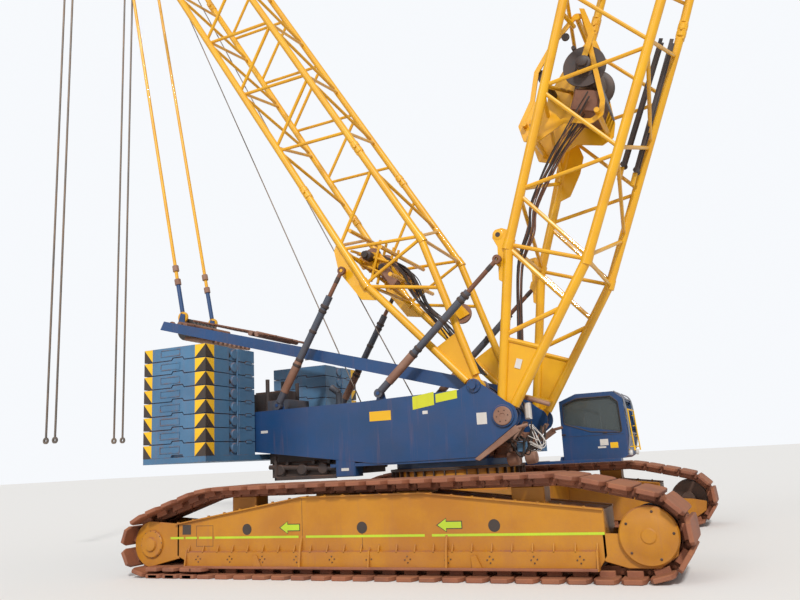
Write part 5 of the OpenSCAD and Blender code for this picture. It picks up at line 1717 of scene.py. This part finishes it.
@dataclass(frozen=True)
class Boom:
    """Dress of the boom: winch frame, hoses, dark stay bars, pin joints of its sections and blank plates.

    Attributes:
        foot: X, Y and Z of the middle of its pin.
        angle: Rise in degrees.
        half_width: Y of its chords.
        half_depth: Distance of its chords from its middle plane.
        chord: Radius of the chords.
        sections: Distances of the joints between its sections from the pin.
        body: Body that it rides on.
        seed: Start of the random numbers that lay the hoses.
    """

    foot: Triple = (1.64, 0.0, 2.74)
    angle: float = 70.5
    half_width: float = 1.45
    half_depth: float = 1.07
    chord: float = 0.105
    sections: tuple[float, ...] = (10.0, 19.5, 29.0)
    body: str = "boom"
    seed: int = 3

    def made(self, name: str, parts: Iterable[Surface], finish: Finish, smooth: float = 35.0,
             replaced: Sequence[str] = (), slot: str = "") -> bpy.types.Object:
        """Makes a piece from surfaces whose X runs up the boom and whose Z points to its back."""
        skin = joined(parts).moved(leaning(self.foot, self.angle))
        return piece(name, skin, finish, self.body, smooth, replaced, slot)

    def sleeves(self) -> Iterable[Surface]:
        """Returns the sleeves and cross pins of the joints between sections."""
        r = self.chord
        profile = mirrored([(r, -0.17), (r + 0.016, -0.15), (r + 0.016, -0.03), (r + 0.004, -0.02)])
        for d in self.sections:
            for y, z in ((y, z) for y in (-1, 1) for z in (-1, 1)):
                y, z = y * self.half_width, z * self.half_depth
                yield lathe(profile, (d, y, z), (1, 0, 0), 28)
                yield bar((d, y - 0.15, z), (d, y + 0.15, z), 0.03, 16)

    def build(self) -> None:
        """Builds every piece of the boom."""
        self.made("boom_section_joints", self.sleeves(), YELLOW)
        outline = [(9.22, 0.96), (9.22, 0.70), (8.64, 0.43), (8.35, 0.30), (7.25, -0.22), (6.90, -0.27),
                   (6.68, -0.06), (6.62, 0.56), (6.08, 1.08), (6.08, 1.38), (6.42, 1.60), (7.05, 1.48),
                   (7.75, 1.56), (8.50, 1.33)]
        plates = [slab(rounded(outline, 0.06), 0.684, 0.716, 0.004),
                  slab(rounded(outline[7:12] + [(7.05, 1.30), (6.80, 0.80)], 0.03), -0.716, -0.684, 0.004)]
        band = np.array(rect(-0.02, -0.055, 0.02, 0.055))
        line = rounded(inset(np.array(outline[::-1]), 0.06), 0.05)
        path = np.stack([line[:, 0], np.full(len(line), -0.70), line[:, 1]], axis=1)
        plates.append(sweep(path, band, ACROSS, closed=True))
        plates += [bar((d, -0.86, n), (d, 0.86, n), 0.06, 20)
                   for d, n in ((6.25, 1.25), (6.45, 1.43), (9.05, 0.84), (6.95, -0.12))]
        bearing = [(0.17, 0), (0.17, 0.05), (0.15, 0.065), (0.06, 0.065)]
        plates += [lathe(bearing, (8.0, s * 0.716, 0.45), (0, s, 0), 32) for s in SIDES.values()]
        arm = [(9.30, 0.86), (9.30, 0.74), (8.74, 0.36), (7.77, 0.43), (7.77, 0.55), (8.66, 0.50)]
        plates += [slab(arm, s * 0.78 - 0.02, s * 0.78 + 0.02, 0.005) for s in (-1, 1)]
        plates += [bar((d, s * 0.7, n), (d, s * (self.half_width - 0.02), self.half_depth), 0.05, 16)
                   for d, n in ((6.3, 1.2), (8.9, 0.9)) for s in (-1, 1)]
        self.made("boom_winch_cheeks", plates, YELLOW, 35, ["boom_winch_frame"], "boom_yellow")
        self.made("boom_winch_box", [box((6.98, -0.60, -0.05), (7.50, 0.50, 0.55), 0.03)], ROD)
        case = [(0.15, 0), (0.17, 0.02), (0.17, 0.14), (0.12, 0.16), (0.12, 0.24), (0.08, 0.26)]
        dark = [bar((7.74, -0.62, 1.42), (7.74, 0.62, 1.42), 0.11, 24),
                lathe(case, (8.0, -0.72, 0.45), (0, -1, 0), 32),
                bar((8.50, -0.5, 0.86), (8.50, 0.5, 0.86), 0.05, 16),
                disc((8.62, -0.74, 1.02), 0.09, 0.06, 24, 0.01),
                bolts((8.0, -0.72, 0.45), 0.16, 12, 0.010, 0.02, (0, -1, 0))]
        self.made("boom_winch_drives", dark, DARK)
        steps = ((0.1 * k, 0.06 * k) for k in range(11))
        treads = [box((7.29 + d, -0.66, -0.20 + n), (7.33 + d, 0.66, -0.16 + n), 0.004) for d, n in steps]
        self.made("boom_winch_grating", treads, GREY)
        strands = self.hoses()
        self.made("boom_hoses", strands[::2], RUBBER, 60)
        self.made("boom_ropes", strands[1::2], ROD, 60)
        bars = []
        for y in (0.86, 1.08):
            for (d0, n0), (d1, n1) in (((9.5, -0.75), (6.35, -0.60)), ((9.5, -1.0), (6.25, -0.92))):
                line = [(d1, n1 - 0.045), (d0, n0 - 0.045), (d0, n0 + 0.045), (d1, n1 + 0.045)]
                bars.append(slab(line, y - 0.012, y + 0.012, 0.003))
                bars.append(disc((d1, y, n1), 0.07, 0.04, 28, 0.006))
        self.made("boom_stay_bars", bars, DARK, 30)
        arm = rounded([(7.44, 1.16), (7.12, 0.91), (6.56, 0.51), (6.13, 0.49), (5.52, 0.59), (5.35, 0.81),
                       (4.96, 0.86), (4.89, 1.02), (6.6, 1.12)], 0.05)
        ear = rounded([(2.7, 0.66), (3.5, 0.84), (3.85, 0.88), (3.87, 1.10), (3.80, 1.24), (3.62, 1.25),
                       (3.45, 1.08), (2.75, 0.86)], 0.04)
        lugs = [slab(arm, 1.38, 1.41, 0.005)]
        for y in (-1.47, 1.47):
            lugs.append(slab(ear, y - 0.02, y + 0.02, 0.005))
            lugs.append(lathe(mirrored([(0.10, -0.03), (0.12, -0.02)]), (3.71, y, 1.14), ACROSS, 32))
        self.made("boom_rear_lugs", lugs, YELLOW)
        # Painted shade: black discs fill the lugs' eyes with the shade of the holes.
        self.made("boom_rear_eyes_in_painted_shade", [disc((3.71, y, 1.14), 0.055, 0.066, 24) for y in (-1.47, 1.47)], BLACK)
        links = [box((d, 0.97 - 0.05, n - 0.05), (d + 0.32, 0.97 + 0.05, n + 0.05), 0.012)
                 for d, n in ((5.98, -0.57), (5.88, -0.90))]
        self.made("boom_stay_links", links, YELLOW)
        face = -self.half_width
        blank = slab(rect(1.02, -0.07, 1.22, 0.06), face - 0.03, face - 0.023, 0.001)
        self.made("boom_plate_blank", [blank], WHITE)

    def hoses(self) -> list[Surface]:
        """Returns the bundle from the winch to the deck: splines side by side, each with its own wave."""
        rng = np.random.default_rng(self.seed)
        parts = []
        lines = (
            (-0.62, [(7.3, 0.15), (6.3, 0.45), (4.78, 0.79), (4.08, 0.72), (3.18, 0.74), (1.69, 0.35),
                     (1.25, 0.2)]),
            (0.0, [(7.2, 0.25), (6.2, 0.75), (4.95, 1.0), (4.22, 0.94), (3.29, 0.93), (1.73, 0.52),
                   (1.3, 0.35)]))
        for y, line in lines:
            for k in range(6):
                shift = rng.uniform(-0.03, 0.03, (len(line), 2))
                path = [(d, y + (0.05 + 0.012 * d) * (k - 2.5), n + b)
                        for (d, n), (_, b) in zip(line, shift)]
                parts.append(hose(spline(path, 7), (0.016, 0.013, 0.022)[k % 3], 8))
        return parts


@dataclass(frozen=True)
class Mast(Boom):
    """Dress of the mast: pin joints, machinery between its chords, guide sheave and hoses."""

    foot: Triple = (1.05, 0.0, 3.41)
    angle: float = 121.0
    half_width: float = 1.33
    half_depth: float = 0.848
    chord: float = 0.088
    sections: tuple[float, ...] = (6.5, 16.0)
    body: str = "mast"
    seed: int = 9

    def build(self) -> None:
        """Builds every piece of the mast."""
        self.made("mast_section_joints", self.sleeves(), YELLOW)
        cheek = [(4.62, 0.95), (4.62, 0.60), (4.35, 0.35), (3.5, 0.20), (3.2, 0.30), (3.6, 0.50),
                 (4.15, 0.62), (4.3, 0.95)]
        plates = [slab(cheek, y - 0.014, y + 0.014, 0.004) for y in (-0.46, -0.1, 0.4)]
        plates += [bar((d, -self.half_width, n), (d, self.half_width, n), 0.05, 16)
                   for d, n in ((4.5, 0.86), (3.35, 0.22), (4.05, 0.05), (4.9, 0.45))]
        plates += [bar((a, y, 0.9), (b, y + 0.1, n), 0.035, 12)
                   for a, b, n in ((4.85, 4.0, 0.28), (4.5, 3.35, 0.32), (3.85, 4.6, 0.15))
                   for y in (-0.6, -0.25, 0.2, 0.5)]
        bracket = [(1.52, -0.70), (1.80, -0.66), (1.80, -0.42), (1.56, -0.44)]
        plates += [slab(bracket, y - 0.01, y + 0.01, 0.003) for y in (-0.955, -0.825)]
        self.made("mast_winch_plates", plates, YELLOW)
        groove = mirrored([(0.04, -0.04), (0.22, -0.04), (0.23, -0.03), (0.18, -0.008)])
        self.made("mast_guide_sheave", [lathe(groove, (1.66, -0.89, -0.54), ACROSS, 40)], RUSTY)
        drum = mirrored([(0.10, -0.40), (0.25, -0.40), (0.26, -0.38), (0.25, -0.36), (0.16, -0.35)])
        motor = [(0.11, 0), (0.12, 0.02), (0.12, 0.24), (0.08, 0.27), (0.08, 0.36)]
        axles = ((3.86, 0.42), (4.42, 0.60))
        self.made("mast_drums", [lathe(drum, (d, 0, n), ACROSS, 40) for d, n in axles]
                  + [box((3.3, y - 0.1, 0.30), (3.9, y + 0.1, 0.52), 0.02) for y in (-0.7, 0.65)], RUSTY)
        self.made("mast_drives", [lathe(motor, (d, -0.5, n), (0, -1, 0), 28) for d, n in axles], DARK)
        self.made("mast_hoses", self.hoses(), RUBBER, 60)

    def hoses(self) -> list[Surface]:
        """Returns hoses and cables that run down the mast to the deck."""
        rng = np.random.default_rng(self.seed)
        parts = []
        for k in range(10):
            y = -0.55 + 0.11 * k
            path = [(4.3, y * 0.7, 0.35), (3.6, y, 0.12 + rng.uniform(-0.06, 0.06)),
                    (2.8, y, 0.22 + rng.uniform(-0.06, 0.06)),
                    (1.9, y * 1.1, 0.10 + rng.uniform(-0.06, 0.06)), (1.1, y * 1.2, 0.12),
                    (0.55, y * 1.3, 0.10)]
            parts.append(hose(spline(path, 7), (0.014, 0.02, 0.026)[k % 3], 8))
        return parts


@dataclass(frozen=True)
class Rigging:
    """Ropes between winches, mast head and stays, the sheave sets and the hook block.

    Attributes:
        rope: Radius of the hoist ropes.
        falls: Parts of line in the boom's hoist tackle.
    """

    rope: float = 0.016
    falls: int = 10

    def build(self) -> None:
        """Builds sheaves, ropes and hook block."""
        for name, count in (("mast_sheaves", 7), ("boom_sheaves", 6)):
            self.sheaves(name, count)
        low, high = (np.array(v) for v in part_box("mast_sheaves"))
        head, radius = (low + high) / 2, (high[2] - low[2]) / 2 - 0.03
        low, high = (np.array(v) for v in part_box("backstays"))
        foot, top = np.array((high[0] - 0.15, 0, low[2] + 0.15)), np.array((head[0], 0, head[2]))
        way = (top - foot) / np.linalg.norm(top - foot)
        links, forks = [], []
        for y in (low[1] + 0.05, high[1] - 0.05):
            p = foot + (0, y, 0)
            links.append(bar(p + 0.15 * way, p + 0.95 * way, 0.058, 14))
            forks += [bar(p + d * way, p + (d + 0.16) * way, 0.085, 14) for d in (0.95, 1.35)]
        piece("backstay_links", joined(links), BLUE, "mast", 40)
        piece("backstay_forks", joined(forks), RUSTY, "mast", 40)
        for k, (start, y) in enumerate((((-0.95, 0.35, 3.04), 0.14), ((-1.96, -0.35, 2.74), -0.14))):
            start, end = np.array(start), head + (-0.5 * radius, y, -0.86 * radius)
            rope = piece(f"hoist_rope_{k}", hose(np.linspace(start, end, 40), self.rope), STEEL, "", 60)
            tuple(start)
            tuple(end)
            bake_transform(rope)
        low, high = (np.array(v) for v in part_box("boom_stays"))
        link = np.array((low[0] + 0.14, 0.0, low[2] + 0.14))
        lines = [np.array([head + (-0.3 * radius, y, 0.95 * radius), link + (0, y, 0.02 * (k % 2))])
                 for k, y in enumerate(np.linspace(-0.26, 0.26, self.falls))]
        tackle = [hose(line, self.rope, 6) for line in lines]
        piece("stay_tackle", joined(tackle), STEEL, "boom_stays", 60)
        beam = [box((link[0] - 0.13, -0.95, link[2] - 0.07), (link[0] + 0.13, 0.95, link[2] + 0.07), 0.02)]
        beam += [disc((link[0], y, link[2]), 0.14, 0.04, 28, 0.006) for y in np.linspace(-0.26, 0.26, 6)]
        piece("stay_crosshead", joined(beam), YELLOW, "boom_stays")
        self.hook()

    def sheaves(self, name: str, count: int) -> None:
        """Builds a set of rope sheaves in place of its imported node.

        Args:
            name: Node and body.
            count: Sheaves beside each other.
        """
        low, high = (np.array(v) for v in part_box(name))
        centre, r = (low + high) / 2, (high[2] - low[2]) / 2
        step = (high[1] - low[1]) / count
        w = step * 0.44
        groove = mirrored([(0.06, -w), (r - 0.006, -w), (r, -0.7 * w), (r - 0.05, -0.2 * w)])
        parts = [lathe(groove, (centre[0], low[1] + (k + 0.5) * step, centre[2]), ACROSS, 56)
                 for k in range(count)]
        parts.append(bar((centre[0], low[1], centre[2]), (centre[0], high[1], centre[2]), 0.09, 28))
        piece(name, joined(parts), NYLON, name, 35, [name], "sheave")

    def hook(self) -> None:
        """Builds the hook block: cheeks, sheaves, falls and a hook whose section swells along a spline."""
        low, high = (np.array(v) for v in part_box("hook_block"))
        x, top, foot = (low[0] + high[0]) / 2, high[2], low[2]
        y = (high[1] - low[1]) / 2
        deck = foot + 0.42 * (top - foot)
        outline = rounded([(x - 0.28, deck - 0.75), (x + 0.28, deck - 0.75), (x + 0.35, deck - 0.3),
                           (x + 0.30, deck + 0.12), (x - 0.30, deck + 0.12), (x - 0.35, deck - 0.3)], 0.08)
        cheeks = [slab(outline, *sorted((s * y, s * (y - 0.03))), 0.008) for s in (-1, 1)]
        cheeks += [box((x - 0.12, -y + 0.02, deck - 0.72), (x + 0.12, y - 0.02, deck - 0.5), 0.03)]
        piece("hook_cheeks", joined(cheeks), YELLOW, "hook_block", 35, ["hook_block"], "hook_yellow")
        w, rows = 0.035, (-0.18, -0.06, 0.06, 0.18)
        groove = mirrored([(0.04, -w), (0.27, -w), (0.275, -0.7 * w), (0.23, -0.2 * w)])
        sheaves = [lathe(groove, (x, k, deck - 0.2), ACROSS, 48) for k in rows]
        piece("hook_sheaves", joined(sheaves), NYLON, "hook_block", 35)
        falls = [hose(np.array([(x + s * 0.25, k, deck - 0.2), (x + s * 0.25, k, top)]), self.rope)
                 for k in rows for s in (-1, 1)]
        piece("hook_falls", joined(falls), STEEL, "hook_block", 60)
        z = deck - 0.95
        line = spline([(x, 0, z + 0.4), (x, 0, z + 0.1), (x + 0.02, 0, z - 0.05), (x + 0.20, 0, z - 0.22),
                       (x + 0.17, 0, z - 0.47), (x - 0.03, 0, z - 0.57), (x - 0.22, 0, z - 0.46),
                       (x - 0.28, 0, z - 0.25)], 8)
        t = np.linspace(0, 1, len(line))
        swell = 0.05 + 0.055 * np.sin(math.pi * np.clip(t * 1.15 - 0.1, 0, 1)) ** 0.8
        piece("hook_bow", sweep(line, circle(1.0, 20), ACROSS, swell), WARNING, "hook_block", 60)


# Studio


@dataclass
class Studio:
    """Floor, light and camera.

    Attributes:
        camera_place: Place of the lens in metres.
        yaw: Turn of the view from +Y towards -X, in radians.
        pitch: Rise of the view, in radians.
        roll: Turn of the picture, in radians.
        focal_px: Focal length in pixels.
        picture_w: Width in pixels of the picture that it is measured on.
        floor_half: Half the side of the floor.
        floor_colour: Colour of the floor.
        sky: Colour of the backdrop and of the even light.
    """

    camera_place: Triple = (6.158, -17.007, 1.953)
    yaw: float = 0.409534
    pitch: float = 0.206016
    roll: float = -0.052644
    focal_px: float = 766.92
    picture_w: float = 800.0
    floor_half: float = 400.0
    floor_colour: Triple = (0.78, 0.76, 0.73)
    sky: Triple = (0.93, 0.95, 0.98)

    def build(self) -> None:
        """Makes the stage, the lamps and the camera."""
        self._floor()
        self._world()
        self._lamps()
        self._camera()

    def _floor(self) -> None:
        """Makes a pale floor under the tracks."""
        h = self.floor_half
        mesh = bpy.data.meshes.new("floor")
        mesh.from_pydata([(-h, -h, 0), (h, -h, 0), (h, h, 0), (-h, h, 0)], [], [(0, 1, 2, 3)])
        floor = bpy.data.objects.new("floor", mesh)
        bpy.context.scene.collection.objects.link(floor)
        material, _, shader = started("floor_pale")
        shader.inputs["Base Color"].default_value = (*self.floor_colour, 1.0)
        shader.inputs["Roughness"].default_value = 0.9
        mesh.materials.append(material)

    def _world(self) -> None:
        """Lights the object evenly, and shows a pale backdrop to the camera and in reflections."""
        world = bpy.data.worlds.new("studio")
        bpy.context.scene.world = world
        world.use_nodes = True
        nodes = Nodes(world.node_tree)
        back = world.node_tree.nodes["Background"]
        path = nodes.add("ShaderNodeLightPath")
        seen = nodes.math("MAXIMUM", path.outputs["Is Camera Ray"], path.outputs["Is Transmission Ray"])
        strength = nodes.math("MULTIPLY_ADD", seen, 0.45, 0.55)
        back.inputs["Color"].default_value = (*self.sky, 1.0)
        nodes.tree.links.new(strength, back.inputs["Strength"])

    def _lamps(self) -> None:
        """Sets a key lamp ahead of the crane and a soft fill beside the camera."""
        for name, kind, energy, turn, size in (
            ("key", "SUN", 2.3, (math.radians(42), math.radians(28), 0.0), math.radians(6)),
            ("fill", "SUN", 0.5, (math.radians(62), 0.0, math.radians(-28)), math.radians(30)),
        ):
            data = bpy.data.lights.new(name, kind)
            data.energy = energy
            data.angle = size
            lamp = bpy.data.objects.new(name, data)
            lamp.rotation_euler = turn
            bpy.context.scene.collection.objects.link(lamp)

    def _camera(self) -> None:
        """Sets the camera: forward, right and up follow from yaw, pitch and roll."""
        yaw, pitch, roll = self.yaw, self.pitch, self.roll
        level = np.array((math.cos(yaw), math.sin(yaw), 0.0))
        forward = np.cross(UP, level) * math.cos(pitch) + UP * math.sin(pitch)
        up = np.cross(level, forward)
        right = level * math.cos(roll) + up * math.sin(roll)
        up = up * math.cos(roll) - level * math.sin(roll)
        data = bpy.data.cameras.new("camera")
        data.sensor_width = 36.0
        data.lens = self.focal_px * data.sensor_width / self.picture_w
        data.clip_end = 2000.0
        camera = bpy.data.objects.new("camera", data)
        matrix = np.eye(4)
        matrix[:3, 0], matrix[:3, 1], matrix[:3, 2], matrix[:3, 3] = right, up, -forward, self.camera_place
        camera.matrix_world = Matrix(matrix.tolist())
        bpy.context.scene.collection.objects.link(camera)
        bpy.context.scene.camera = camera


def main() -> None:
    """Builds the stage and every piece, in order."""
    logging.basicConfig(level=logging.INFO, format="%(name)s: %(message)s")
    Studio().build()
    dress_nodes()
    parts = (Tracks(), CrawlerFrame("left"), CrawlerFrame("right"), SlewingRing(), Counterweight(),
             Superstructure(), AFrame(), Cab(),
             Drum("winch_front", 0.95, 0.345, 0.55, 34), Drum("winch_rear", 0.95, 0.275, 0.42, 40),
             Drum("boom_winch", 0.60, 0.30, 0.47, 26), Stops("boom_stop", (-1.15, 3.43)),
             Stops("mast_stop", (-3.84, 3.37)), Boom(), Mast(), Rigging())
    for part in parts:
        LOG.info("building %s", type(part).__name__)
        part.build()
    bpy.context.scene.view_settings.view_transform = "Standard"


if __name__ == "__main__":
    main()
